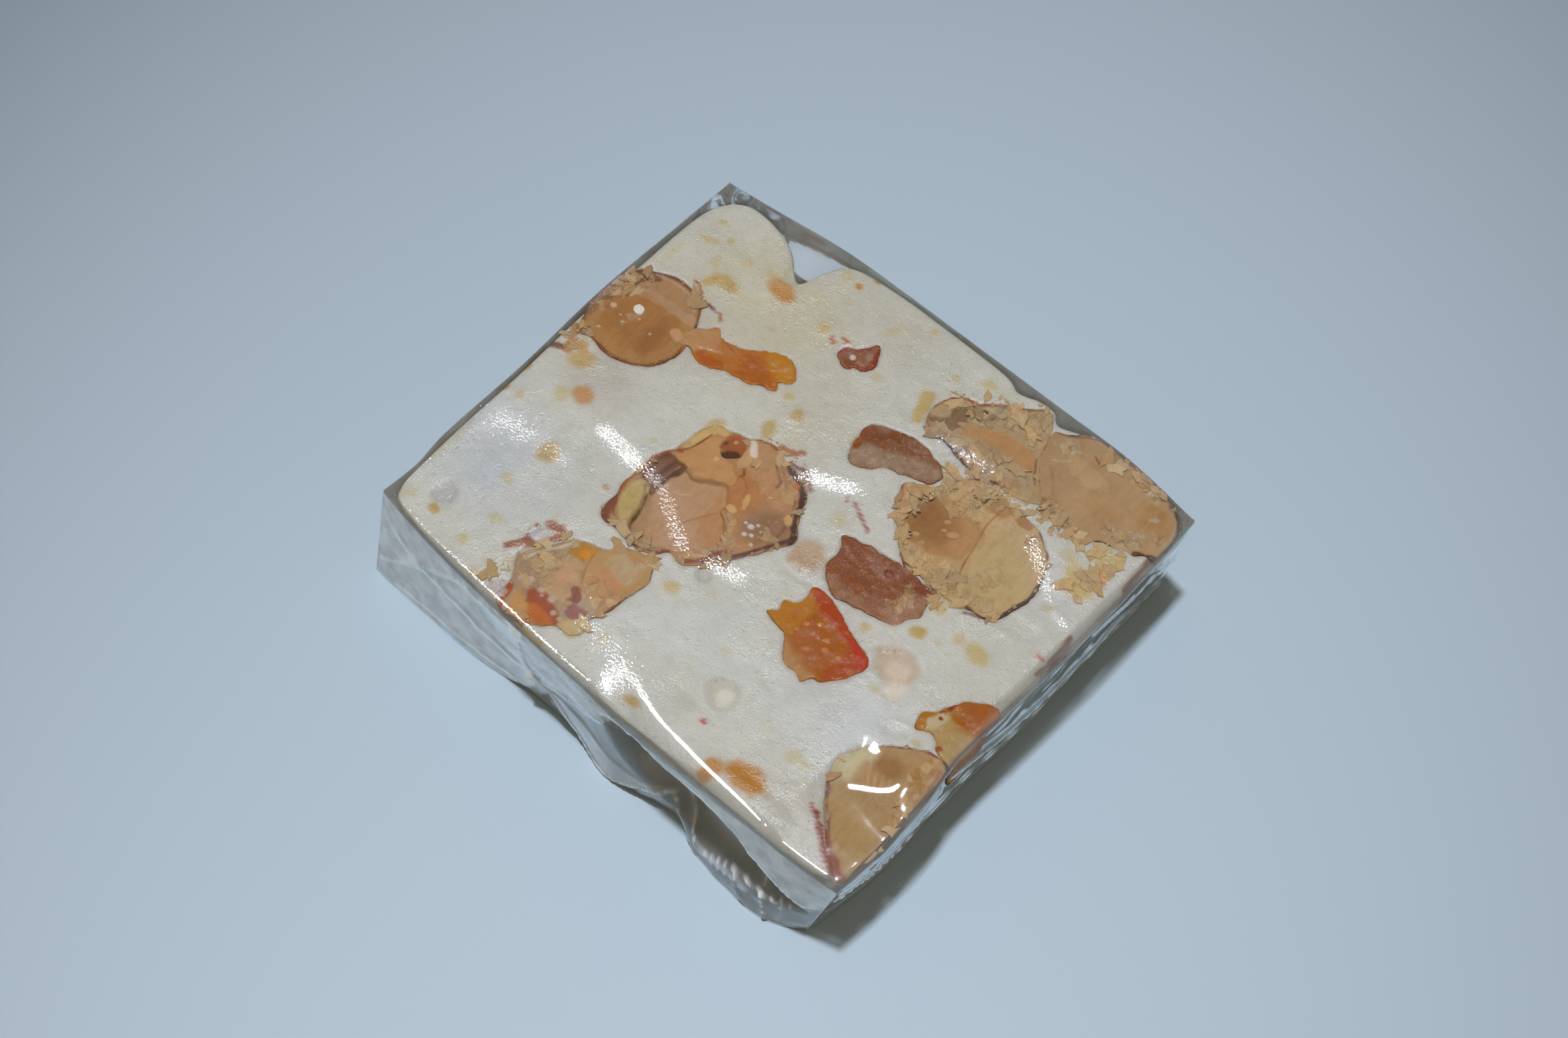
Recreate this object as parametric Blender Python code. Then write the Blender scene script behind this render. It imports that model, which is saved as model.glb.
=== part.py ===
"""A square of almond nougat in its clear film wrap, lying flat with the cut face up.

The wrapped block is one solid, out to the film. Each almond, strip of candied peel and candied fruit
that shows at the top is a solid of its own, set flush in a pocket of the block. Units are metres, +Z
is up, and the origin is the middle of the underside.
"""

import math

import bmesh
import bpy
from mathutils import Vector

MM = 0.001

# The wrapped block. Its corners and sides go round from the left front corner, seen from above:
# front, right, back, left. Corners are (x, y) in mm, and a bulge is how far a side bows out.
HEIGHT = 12.7 * MM
BASE_CORNERS = [(-27.3, -24.3), (24.6, -23.7), (25.4, 22.9), (-27.1, 23.0)]
TOP_CORNERS = [(-27.1, -21.8), (26.9, -22.6), (26.9, 23.4), (-26.7, 21.9)]
BASE_BULGES = [0.15 * MM, 0.2 * MM, 0.0 * MM, 0.1 * MM]
TOP_BULGES = [1.25 * MM, 0.35 * MM, 0.85 * MM, 0.15 * MM]
OUTWARDS = [Vector((0, -1)), Vector((1, 0)), Vector((0, 1)), Vector((-1, 0))]
EDGE_RADIUS = 1.9 * MM
FOOT_RADIUS = 0.6 * MM
PINCH, PINCH_OVER = 0.25 * MM, 0.05  # beside each corner the foot is drawn in, over this share of a side

# The top waves gently, and sags at its two left corners.
WAVE = 0.12 * MM
WAVE_LENGTHS = (38 * MM, 44 * MM)
SAG = 0.8 * MM
SAG_REACH = 7.0 * MM
SAGGING_CORNERS = (0, 3)

# The ends of the film fold over at the front and back. A flap hangs down to an edge that climbs along
# the side and droops at its end. Under its high part the film is tucked in deep, and it flares out
# at its foot there. All but the three lengths are shares of the side's length or height.
FOLDED_SIDES = (0, 2)
FLAP_STEP = 0.45 * MM
FLAP_LOW, FLAP_HIGH, FLAP_DROOP = 0.40, 0.82, 0.30
CLIMB_AT, CLIMB_OVER = 0.42, 0.12
FLARE = 1.1 * MM
FLARE_AT, FLARE_OVER = 0.86, 0.10
TUCK = 2.4 * MM
TUCK_FOOT, TUCK_FADE = 0.12, 0.10

# The block's mesh: cells across the top, rows over its rounded edge as shares of the radius, and
# rings down its sides as shares of the height.
CELLS_X, CELLS_Y = 22, 20
EDGE_ROWS = [0.0, 0.12, 0.45, 1.0]
SIDE_RINGS = [0.84, 0.68, 0.53, 0.38, 0.24, 0.12]

GAP = 0.3 * MM  # between a piece and its pocket
HEADROOM = 1.0 * MM  # how far a piece's mesh stands above the block before the block's top trims it
LOOP_STEPS = 2  # points made on each stretch of a piece's outline
BOWL_LEVELS = [0.0, 0.35, 0.7, 0.93]  # rings of a piece's underside, as shares of its depth

# A higher power makes a squarer underside.
UNDERSIDE_POWER = {"almond": 2.0, "peel": 4.0, "fruit": 3.0}

# Each piece set in the top: its kind, its depth in mm, and its outline at the cut, as (x, y) in mm.
PIECES = {
    "almond_left": ("almond", 7.0, [
        (-22.8, 11.1), (-19.3, 9.9), (-17.9, 7.5), (-17.4, 5.0), (-18.6, 2.5), (-22.0, 1.1),
        (-25.3, 2.0), (-27.2, 5.0), (-27.3, 8.0), (-25.6, 10.2)]),
    "almond_back_left": ("almond", 4.2, [
        (2.8, 16.6), (4.2, 19.0), (7.2, 20.9), (10.6, 23.0), (11.8, 21.2), (12.6, 19.0),
        (13.8, 16.9), (14.6, 15.2), (12.4, 14.3), (8.0, 14.3), (4.0, 14.5)]),
    "almond_back_right": ("almond", 4.2, [
        (12.6, 21.8), (15.0, 23.7), (20.0, 24.2), (25.2, 23.4), (27.3, 20.6), (27.2, 18.3),
        (23.4, 16.6), (20.0, 15.2), (15.6, 15.2), (14.4, 17.2), (13.2, 19.2)]),
    "almond_right": ("almond", 4.4, [
        (6.0, 9.0), (8.6, 10.6), (10.6, 13.6), (14.0, 13.8), (18.0, 13.2), (20.6, 10.8),
        (21.3, 8.0), (20.4, 5.0), (17.0, 3.6), (11.2, 3.5), (8.0, 6.0)]),
    "almond_centre": ("almond", 4.4, [
        (-10.3, 1.2), (-6.0, 4.0), (-0.8, 3.7), (1.9, 1.2), (2.7, -2.2), (0.4, -6.2),
        (-3.2, -10.0), (-7.2, -10.9), (-11.2, -10.9), (-11.8, -6.0), (-11.4, -2.0)]),
    "almond_front": ("almond", 4.0, [
        (-13.6, -17.2), (-10.6, -14.2), (-8.0, -12.6), (-5.4, -11.4), (-3.8, -13.4),
        (-4.2, -17.2), (-5.8, -20.2), (-8.6, -22.1), (-11.8, -23.0), (-12.8, -20.4)]),
    "almond_corner": ("almond", 5.5, [
        (20.9, -11.4), (22.6, -9.5), (25.0, -8.7), (27.4, -9.4), (28.2, -15.0), (27.9, -21.4),
        (26.2, -21.2), (23.4, -19.4), (20.4, -16.8), (19.5, -14.6)]),
    "peel_left": ("peel", 3.2, [
        (-17.0, 9.2), (-14.4, 9.3), (-11.6, 10.9), (-9.4, 11.5), (-8.0, 9.9), (-9.6, 7.9),
        (-12.6, 7.0), (-15.6, 6.1), (-16.9, 6.6)]),
    "peel_centre": ("peel", 3.4, [
        (7.4, -3.5), (11.0, -4.3), (15.1, -5.9), (14.4, -8.8), (12.0, -11.0), (8.8, -9.9),
        (5.4, -7.9), (6.9, -5.6)]),
    "peel_right": ("peel", 6.5, [
        (25.6, -1.6), (23.6, -3.1), (22.0, -5.6), (22.4, -7.4), (24.6, -7.9), (27.6, -8.4),
        (28.0, -5.0), (27.6, -2.2)]),
    "fruit_back": ("fruit", 3.0, [
        (0.0, 11.6), (2.6, 12.6), (5.4, 13.0), (8.0, 12.4), (8.0, 10.9), (5.6, 9.5),
        (3.6, 8.3), (1.2, 7.3), (0.0, 9.0)]),
    "fruit_right": ("fruit", 3.0, [
        (5.7, 1.7), (8.0, 2.5), (11.6, 2.9), (15.2, 2.8), (15.4, 0.4), (14.0, -1.8),
        (11.0, -2.7), (8.4, -2.9), (6.5, -1.4)]),
    "fruit_chip": ("fruit", 2.0, [
        (-7.1, 15.2), (-6.2, 16.3), (-4.7, 18.0), (-3.6, 16.3), (-4.4, 14.9), (-6.0, 14.2)]),
}

# Hollows in the cut face, by the solid each is in: (x, y, half length, half width, depth) in mm.
HOLLOWS = {
    "wrapped_block": [(17.6, -4.6, 1.9, 2.3, 0.8), (8.1, -16.2, 1.3, 1.3, 0.7)],
    "almond_centre": [(-4.9, -6.0, 4.2, 3.7, 0.7)],
    "almond_right": [(10.6, 7.8, 2.4, 2.4, 0.8)],
}
HOLLOW_BALL = 1.6  # half the height of the ball that cuts a hollow, in hollow depths

# Base colour and roughness.
LOOKS = {
    "nougat": ((0.80, 0.77, 0.70), 0.30),
    "almond": ((0.62, 0.38, 0.20), 0.55),
    "peel": ((0.66, 0.24, 0.04), 0.40),
    "fruit": ((0.30, 0.10, 0.05), 0.40),
}


def material(name):
    colour, roughness = LOOKS[name]
    made = bpy.data.materials.new(name)
    made.use_nodes = True
    shader = made.node_tree.nodes["Principled BSDF"]
    shader.inputs["Base Color"].default_value = (*colour, 1.0)
    shader.inputs["Roughness"].default_value = roughness
    shader.inputs["Metallic"].default_value = 0.0
    return made


def finished_mesh(shape, name):
    bmesh.ops.recalc_face_normals(shape, faces=shape.faces)
    mesh = bpy.data.meshes.new(name)
    shape.to_mesh(mesh)
    shape.free()
    mesh.shade_smooth()
    mesh.set_sharp_from_angle(angle=math.radians(35))
    return mesh


def band(shape, upper, lower):
    """Joins two closed rings of vertices, which run the same way round, with quads."""
    for k in range(len(upper)):
        after = (k + 1) % len(upper)
        shape.faces.new((upper[k], upper[after], lower[after], lower[k]))


def mix(a, b, share):
    return a + (b - a) * share


def ramp(value, start, over):
    return min(max((value - start) / over, 0.0), 1.0)


def fold_relief(along, up):
    """How far the folded film stands out from a folded side's flat face."""
    edge = mix(FLAP_LOW, FLAP_HIGH, ramp(along, CLIMB_AT, CLIMB_OVER))
    edge -= FLAP_DROOP * ramp(along, FLARE_AT, 1 - FLARE_AT)
    flap = FLAP_STEP if up > edge else 0.0
    flare = FLARE * math.exp(-(((along - FLARE_AT) / FLARE_OVER) ** 2)) * (1 - up)
    beside = ramp(along, CLIMB_AT + CLIMB_OVER, TUCK_FADE) * ramp(1 - along, 0.0, TUCK_FADE)
    within = ramp(up, TUCK_FOOT, edge - TUCK_FOOT)
    tuck = TUCK * beside * math.sin(math.pi * within)
    return (flap + flare) * math.sin(math.pi * along) ** 0.25 - tuck


def side_point(side, along, up):
    """A point on a side, at a share of the way along it and a share of the way up."""
    after = (side + 1) % 4
    start = mix(Vector(BASE_CORNERS[side]), Vector(TOP_CORNERS[side]), up) * MM
    end = mix(Vector(BASE_CORNERS[after]), Vector(TOP_CORNERS[after]), up) * MM
    bulge = mix(BASE_BULGES[side], TOP_BULGES[side], up) * (1 - abs(2 * along - 1) ** 3)
    if side in FOLDED_SIDES:
        bulge += fold_relief(along, up)
    return mix(start, end, along) + OUTWARDS[side] * bulge


def top_point(u, v):
    """A point inside the top's four edges, at shares u along X and v along Y (a Coons patch)."""
    between_ends = mix(side_point(0, u, 1.0), side_point(2, 1 - u, 1.0), v)
    between_sides = mix(side_point(3, 1 - v, 1.0), side_point(1, v, 1.0), u)
    corners = [side_point(side, 0.0, 1.0) for side in range(4)]
    between_corners = mix(mix(corners[0], corners[1], u), mix(corners[3], corners[2], u), v)
    return between_ends + between_sides - between_corners


def top_height(point, inset):
    """The height of the top at a point that lies inset from the nearest side."""
    short = max(EDGE_RADIUS - inset, 0.0)
    height = HEIGHT - WAVE - EDGE_RADIUS + math.sqrt(EDGE_RADIUS**2 - short**2)
    wave = math.sin(math.tau * point.x / WAVE_LENGTHS[0] + 1)
    wave *= math.sin(math.tau * point.y / WAVE_LENGTHS[1])
    height += WAVE * wave * min(inset / EDGE_RADIUS, 1.0)
    for corner in SAGGING_CORNERS:
        away = (point - Vector(TOP_CORNERS[corner]) * MM).length
        height -= SAG * math.exp(-((away / SAG_REACH) ** 2))
    return height


def rows(cells, length):
    """Shares from 0 to 1, with close rows over the rounded edge at each end."""
    edge = [row * EDGE_RADIUS / length for row in EDGE_ROWS]
    inner = [mix(edge[-1], 1 - edge[-1], i / cells) for i in range(1, cells)]
    return edge + inner + [1 - share for share in reversed(edge)]


def block_top(shape, us, vs, width, depth):
    """The top's grid of vertices, as columns along X, with its faces."""
    grid = []
    for u in us:
        column = []
        for v in vs:
            point = top_point(u, v)
            inset = min(u * width, (1 - u) * width, v * depth, (1 - v) * depth)
            column.append(shape.verts.new((point.x, point.y, top_height(point, inset))))
        grid.append(column)
    for left, right in zip(grid, grid[1:]):
        for j in range(len(vs) - 1):
            shape.faces.new((left[j], right[j], right[j + 1], left[j + 1]))
    return grid


def block_mesh(name):
    width = (TOP_CORNERS[1][0] - TOP_CORNERS[0][0]) * MM
    depth = (TOP_CORNERS[3][1] - TOP_CORNERS[0][1]) * MM
    us, vs = rows(CELLS_X, width), rows(CELLS_Y, depth)
    shape = bmesh.new()
    grid = block_top(shape, us, vs, width, depth)

    rim = [(0, u, column[0]) for u, column in zip(us, grid)][:-1]
    rim += [(1, v, vert) for v, vert in zip(vs, grid[-1])][:-1]
    rim += [(2, 1 - u, column[-1]) for u, column in zip(us, grid)][:0:-1]
    rim += [(3, 1 - v, vert) for v, vert in zip(vs, grid[0])][:0:-1]
    ring = [vert for _, _, vert in rim]
    for up in [*SIDE_RINGS, FOOT_RADIUS / HEIGHT]:
        above = ring
        ring = []
        for side, along, top in rim:
            point = side_point(side, along, up)
            ring.append(shape.verts.new((point.x, point.y, up * top.co.z)))
        band(shape, above, ring)
    foot = []
    for (_, along, _), vert in zip(rim, ring):
        inset = FOOT_RADIUS + (PINCH if 0 < min(along, 1 - along) < PINCH_OVER else 0.0)
        spot = vert.co.xy - vert.co.xy.normalized() * inset
        foot.append(shape.verts.new((spot.x, spot.y, 0.0)))
    band(shape, ring, foot)
    shape.faces.new(foot)
    return finished_mesh(shape, name)


def smooth_loop(points, grow):
    """A closed Catmull-Rom curve through the points, moved outwards by grow."""
    loop = []
    for i in range(len(points)):
        a, b, c, d = (Vector(points[(i + k) % len(points)]) * MM for k in (-1, 0, 1, 2))
        for step in range(LOOP_STEPS):
            t = step / LOOP_STEPS
            square = (2 * a - 5 * b + 4 * c - d) * t**2
            cube = (3 * b - a - 3 * c + d) * t**3
            loop.append((2 * b + (c - a) * t + square + cube) / 2)
    twice_area = sum(p.cross(q) for p, q in zip(loop, loop[1:] + loop[:1]))
    turn = math.copysign(grow, twice_area)
    grown = []
    for k, point in enumerate(loop):
        run = (loop[(k + 1) % len(loop)] - loop[k - 1]).normalized()
        grown.append(point + Vector((run.y, -run.x)) * turn)
    return grown


def piece_mesh(name, kind, depth, points, grow=0.0):
    """A solid with straight sides above the block's top and a rounded underside below it."""
    loop = smooth_loop(points, grow)
    centre = sum(loop, Vector((0, 0))) / len(loop)
    power = UNDERSIDE_POWER[kind]
    shape = bmesh.new()
    rings = [[shape.verts.new((p.x, p.y, HEIGHT + HEADROOM)) for p in loop]]
    for level in BOWL_LEVELS:
        scale = (1 - level**power) ** (1 / power)
        z = HEIGHT - 2 * WAVE - level * (depth * MM + grow)
        rings.append([shape.verts.new((*mix(centre, p, scale), z)) for p in loop])
    for upper, lower in zip(rings, rings[1:]):
        band(shape, upper, lower)
    shape.faces.new(rings[0])
    shape.faces.new(rings[-1])
    return finished_mesh(shape, name)


def hollow_mesh(name, x, y, half_length, half_width, depth):
    """A flattened ball that dips below the top by the hollow's depth, and is as wide there."""
    tall = HOLLOW_BALL * depth
    share_at_top = math.sqrt(1 - (1 - depth / tall) ** 2)
    middle = Vector((x, y, (HEIGHT - WAVE) / MM + tall - depth))
    half = Vector((half_length / share_at_top, half_width / share_at_top, tall))
    shape = bmesh.new()
    bmesh.ops.create_uvsphere(shape, u_segments=14, v_segments=8, radius=1.0)
    for vert in shape.verts:
        vert.co = (middle + vert.co * half) * MM
    return finished_mesh(shape, name)


def add_object(mesh, look=None):
    """A sub-part with its material or, with no look, a hidden cutter."""
    made = bpy.data.objects.new(mesh.name, mesh)
    bpy.context.scene.collection.objects.link(made)
    if look:
        mesh.materials.append(look)
    else:
        made.hide_render = True
        made.display_type = "WIRE"
    return made


def cut(target, cutter, operation="DIFFERENCE"):
    step = target.modifiers.new(f"{operation.lower()} {cutter.name}", "BOOLEAN")
    step.operation = operation
    step.object = cutter
    step.solver = "EXACT"


def build_block():
    block = add_object(block_mesh("wrapped_block"), material("nougat"))
    for name, (kind, depth, points) in PIECES.items():
        cut(block, add_object(piece_mesh(f"{name}_pocket", kind, depth, points, GAP)))


def build_pieces():
    envelope = add_object(block_mesh("block_envelope"))
    looks = {kind: material(kind) for kind in UNDERSIDE_POWER}
    for name, (kind, depth, points) in PIECES.items():
        piece = add_object(piece_mesh(name, kind, depth, points), looks[kind])
        cut(piece, envelope, "INTERSECT")


def cut_hollows():
    for name, hollows in HOLLOWS.items():
        for number, sizes in enumerate(hollows, 1):
            ball = add_object(hollow_mesh(f"{name}_hollow_{number}", *sizes))
            cut(bpy.data.objects[name], ball)


for leftover in list(bpy.data.objects):
    bpy.data.objects.remove(leftover, do_unlink=True)
build_block()
build_pieces()
cut_hollows()
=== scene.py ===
"""A square of almond nougat in its clear film wrap, lying flat with the cut face up.

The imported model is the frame. Shapes are worked out here in millimetres, from the middle of the
underside, and put in metres when each mesh is made.
"""

import math

import bpy
import numpy as np
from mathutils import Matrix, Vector


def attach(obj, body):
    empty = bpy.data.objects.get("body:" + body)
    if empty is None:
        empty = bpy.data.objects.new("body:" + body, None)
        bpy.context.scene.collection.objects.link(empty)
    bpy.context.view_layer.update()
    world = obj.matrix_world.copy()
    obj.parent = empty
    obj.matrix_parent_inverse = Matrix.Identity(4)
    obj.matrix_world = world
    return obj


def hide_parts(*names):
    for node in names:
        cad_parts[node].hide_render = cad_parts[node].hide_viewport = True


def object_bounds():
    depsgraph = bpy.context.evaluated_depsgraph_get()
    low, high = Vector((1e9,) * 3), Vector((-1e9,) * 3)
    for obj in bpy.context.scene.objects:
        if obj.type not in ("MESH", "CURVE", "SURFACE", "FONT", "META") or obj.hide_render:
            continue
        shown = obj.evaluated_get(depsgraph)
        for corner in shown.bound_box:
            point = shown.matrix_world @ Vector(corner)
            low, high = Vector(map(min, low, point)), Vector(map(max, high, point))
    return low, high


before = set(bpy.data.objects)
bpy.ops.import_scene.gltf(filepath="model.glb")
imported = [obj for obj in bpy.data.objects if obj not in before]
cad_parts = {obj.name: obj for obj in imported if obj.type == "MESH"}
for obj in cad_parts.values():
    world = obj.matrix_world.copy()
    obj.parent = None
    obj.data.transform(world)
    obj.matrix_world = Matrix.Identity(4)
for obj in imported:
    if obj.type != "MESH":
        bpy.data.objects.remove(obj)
cad_low, cad_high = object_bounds()
scene = bpy.context.scene
MM = 0.001
TOP = cad_high.z / MM  # the height of the whole wrapped square

# ------------------------------------------------------------------------------------------------
# The camera: a short telephoto held above the right front corner, looking down at the cut face.
LOOK_AT = Vector((-3.71, 4.26, 0.0)) * MM
CAMERA_RISE, CAMERA_TURN, CAMERA_AWAY = math.radians(62.14), math.radians(42.59), 279.7 * MM

camera = bpy.data.cameras.new("camera")
camera.lens, camera.sensor_width, camera.clip_start = 70.77, 36.0, 0.01
tripod = bpy.data.objects.new("camera", camera)
scene.collection.objects.link(tripod)
camera_back = Vector((
    math.sin(CAMERA_TURN) * math.cos(CAMERA_RISE),
    -math.cos(CAMERA_TURN) * math.cos(CAMERA_RISE),
    math.sin(CAMERA_RISE),
))
tripod.location = LOOK_AT + camera_back * CAMERA_AWAY
tripod.rotation_euler = camera_back.to_track_quat("Z", "Y").to_euler()
scene.camera = tripod

# ------------------------------------------------------------------------------------------------
# The almonds: whole ones with their brown skins, roasted, and sawn or split where the square was
# cut. The flesh is tan, with broken flat flakes of paler flesh, hollows where a half came away, and
# a thin dark skin round the edge.


def curve(points, step=0.25, closed=True):
    """Points every `step` or so mm along a Catmull-Rom curve."""
    points = np.asarray(points, float)
    ends = (points[-1:], points[:2]) if closed else (points[:1], points[-1:])
    padded = np.concatenate([ends[0], points, ends[1]])
    made = []
    for a, b, c, d in zip(padded, padded[1:], padded[2:], padded[3:]):
        count = max(int(np.linalg.norm(c - b) / step), 1)
        t = (np.arange(count) / count)[:, None]
        square, cube = 2 * a - 5 * b + 4 * c - d, 3 * b - a - 3 * c + d
        made.append((2 * b + (c - a) * t + square * t**2 + cube * t**3) / 2)
    if not closed:
        made.append(points[-1:])
    return np.concatenate(made)


def spaced(line, shares):
    """Points at these shares of the length of a line."""
    run = np.concatenate([[0], np.cumsum(np.linalg.norm(np.diff(line, axis=0), axis=1))])
    return np.stack([np.interp(shares * run[-1], run, line[:, k]) for k in range(line.shape[1])], 1)


def grain(points, size, seed):
    """Smooth noise from -1 to 1 at points (x, y) or (x, y, z), with lumps of about this size."""
    table = np.random.default_rng(seed).uniform(-1, 1, (64, 64, 64))
    spot = np.zeros((len(points), 3))
    spot[:, : points.shape[1]] = points / size
    cell = np.floor(spot).astype(int)
    t = spot - cell
    t = t * t * (3 - 2 * t)
    total = np.zeros(len(points))
    for corner in np.ndindex(2, 2, 2):
        share = np.prod(np.where(corner, t, 1 - t), axis=1)
        at = (cell + corner) % 64
        total += share * table[at[:, 0], at[:, 1], at[:, 2]]
    return total


def ramp(value, start=0.0, stop=1.0):
    """0 before start and 1 after stop, with a soft turn at both."""
    t = np.clip((value - start) / (stop - start), 0, 1)
    return t * t * (3 - 2 * t)


def distance_to(points, path):
    """How far each point is from a line."""
    nearest = np.full(len(points), 1e9)
    for a, b in zip(path, path[1:]):
        run = b - a
        share = np.clip((points - a) @ run / max(run @ run, 1e-12), 0, 1)
        nearest = np.minimum(nearest, np.linalg.norm(points - a - share[:, None] * run, axis=1))
    return nearest


def inside_by(points, loop):
    """How far each point (x, y) is inside a closed loop. It is negative outside."""
    x, y = points.T
    inside = np.zeros(len(points), bool)
    after = np.roll(loop, -1, axis=0)
    for (ax, ay), (bx, by) in zip(loop, after):
        if ay != by:
            inside ^= ((ay > y) != (by > y)) & (x < (bx - ax) * (y - ay) / (by - ay) + ax)
    gap = distance_to(points, np.concatenate([loop, loop[:1]]))
    return np.where(inside, gap, -gap)


def hump(x, y, at, half):
    """1 at a place, falling away smoothly to nothing at about twice these half lengths."""
    return np.exp(-(((x - at[0]) / half[0]) ** 2) - ((y - at[1]) / half[1]) ** 2)


def linear(colour):
    """The colour, as red, green and blue out of 255, as shader values."""
    share = np.asarray(colour, float) / 255
    return np.where(share <= 0.04045, share / 12.92, ((share + 0.055) / 1.055) ** 2.4)


# The outline of the film round the top, from the left front corner: front, right, back and left.
WRAP_RIM = [
    [(-27.1, -21.8), (-20, -22.8), (-10, -23.4), (0, -23.6), (12, -23.6), (22, -23.2), (26.9, -22.6)],
    [(26.9, -22.6), (27.3, -18), (27.2, -12), (26.6, -7), (26.9, 0), (27.2, 10), (27.1, 18), (26.9, 23.4)],
    [(26.9, 23.4), (19, 24.2), (11, 24.1), (-6, 23.8), (-13.6, 23.5), (-20.6, 22.6), (-26.7, 21.9)],
    [(-26.7, 21.9), (-26.9, 14), (-27.2, 5), (-26.9, -5), (-27.1, -14), (-26.8, -18), (-27.1, -21.8)],
]
WRAP_EDGE = 0.4, 0.7  # the radius of the film's top edge, at the back left and at the front right
CLING = 0.22  # between the film and the nougat
wrap_rim = [curve(side, closed=False) for side in WRAP_RIM]
wrap_loop = np.concatenate([side[:-1] for side in wrap_rim])

# Where the taut film steps down a little towards the front: path, half width and rise in mm.
SHEENS = [
    ([(-17.2, -4.8), (-14.5, -5.0), (-12.2, -5.3)], 0.85, 0.20), ([(-11.6, -4.9), (-8.4, -5.8), (-6.2, -7.2), (-3.6, -8.6)], 0.8, 0.115),
    ([(-1.0, 3.8), (1.2, 4.7), (3.6, 5.6)], 0.85, 0.17), ([(-25.0, -9.8), (-20.6, -9.4)], 1.1, 0.09), ([(-19.6, -9.2), (-16.6, -9.4)], 0.8, 0.07),
    ([(-1.4, -7.9), (2.2, -7.3)], 0.8, 0.11), ([(17.6, 12.2), (19.6, 11.2), (22.4, 9.2)], 0.9, 0.18), ([(5.0, 14.6), (10.8, 14.9)], 0.7, 0.10),
    ([(-5.0, -18.6), (-1.0, -19.5), (3.4, -20.9)], 1.0, 0.045), ([(23.8, 8.4), (25.3, 7.9)], 0.27, 0.065), ([(24.2, -20.4), (25.0, -21.3), (25.9, -22.1)], 0.27, 0.036),
]
# Along the front it curves over: x, the y where it reaches the slope that shines, and its curvature.
SLUMP = np.array([(-28, -22.2, 0.5), (-12, -22.0, 0.4), (-4, -19.6, 0.2), (2, -20.6, 0.25), (6, -21.5, 0.3), (12, -22.1, 0.35),
                  (16, -22.35, 0.4), (18, -22.6, 0.5), (21, -23.2, 0.6), (28, -23.2, 0.6)])
SHINE = 0.157  # that slope
# At the right front corner it steps down between two creases that meet in a V.
CREASES = ([(24.5, -10.8), (24.7, -12.4), (24.35, -13.5), (23.2, -14.35), (22.0, -14.9), (20.7, -15.35)], [(20.7, -15.4), (23.2, -15.95), (26.4, -16.5)])


def rounding(points, loop, back, front):
    """How far a rounded edge falls at each point. Its radius differs at the back left and front right."""
    radius = back + (front - back) * ramp(points @ (0.68, -0.73), -9, 9)
    short = np.clip(radius - inside_by(points, loop), 0, radius)
    return radius - np.sqrt(radius**2 - short**2)


def wrap_height(points):
    """How high the film lies over a point (x, y)."""
    x, y = points.T
    z = np.full(len(points), TOP - 0.16)
    z += 0.09 * np.sin(math.tau * x / 38 + 1) * np.sin(math.tau * y / 44)
    for corner, sag, reach in (((-27, -22), 0.5, 9), ((-27, 22), 0.2, 6), ((27, -23), 0.5, 5)):
        z -= sag * hump(x, y, corner, (reach, reach))
    shine_y, bend = np.interp(x, SLUMP[:, 0], SLUMP[:, 1]), np.interp(x, SLUMP[:, 0], SLUMP[:, 2])
    steepest = np.interp(x, [-1, 4, 18.2, 19.4], [0.02, 0.5, 0.5, 0.08])
    past = np.maximum(shine_y + SHINE / bend - y, 0)
    bent = np.minimum(past, steepest / bend)
    z -= 0.5 * bend * bent**2 + steepest * (past - bent)
    for path, half_width, rise in SHEENS:
        way = np.array(path)
        out = y - np.interp(x, way[:, 0], way[:, 1])
        ends = ramp(x, way[0, 0] - 0.9, way[0, 0] + 0.6) * (1 - ramp(x, way[-1, 0] - 0.6, way[-1, 0] + 0.9))
        z += rise * np.tanh(out / half_width) * np.exp(-((out / (4 * half_width)) ** 2)) * ends
    z += 0.035 * np.maximum(x - 8, 0) * ramp(-y, 20, 21.5) * (1 - ramp(x, 18.5, 21))
    corner = ramp(x, 18.6, 20.4) * (1 - ramp(y, -12.4, -10.0)) * ramp(y, -19.6, -17.0) * (1 - ramp(x, 25.2, 27.2) * ramp(y, -15.8, -14.4))
    at = corner > 0
    x, y = points[at].T
    step = 0.05 * (x - 23.5) + 0.04 * (y + 15.4) - 0.26
    softness = np.interp(y, [-15.4, -14.4, -13.5, -12.4, -10.8], [0.3, 0.5, 0.75, 0.35, 0.15]), 0.4
    for sign, crease, soft in zip((-0.13, 0.13), CREASES, softness):
        far = distance_to(points[at], curve(crease, 0.4, closed=False))
        step += sign * (np.sqrt(far**2 + soft**2) - soft)
    z[at] += corner[at] * step
    return z - rounding(points, wrap_loop, *WRAP_EDGE)


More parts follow.
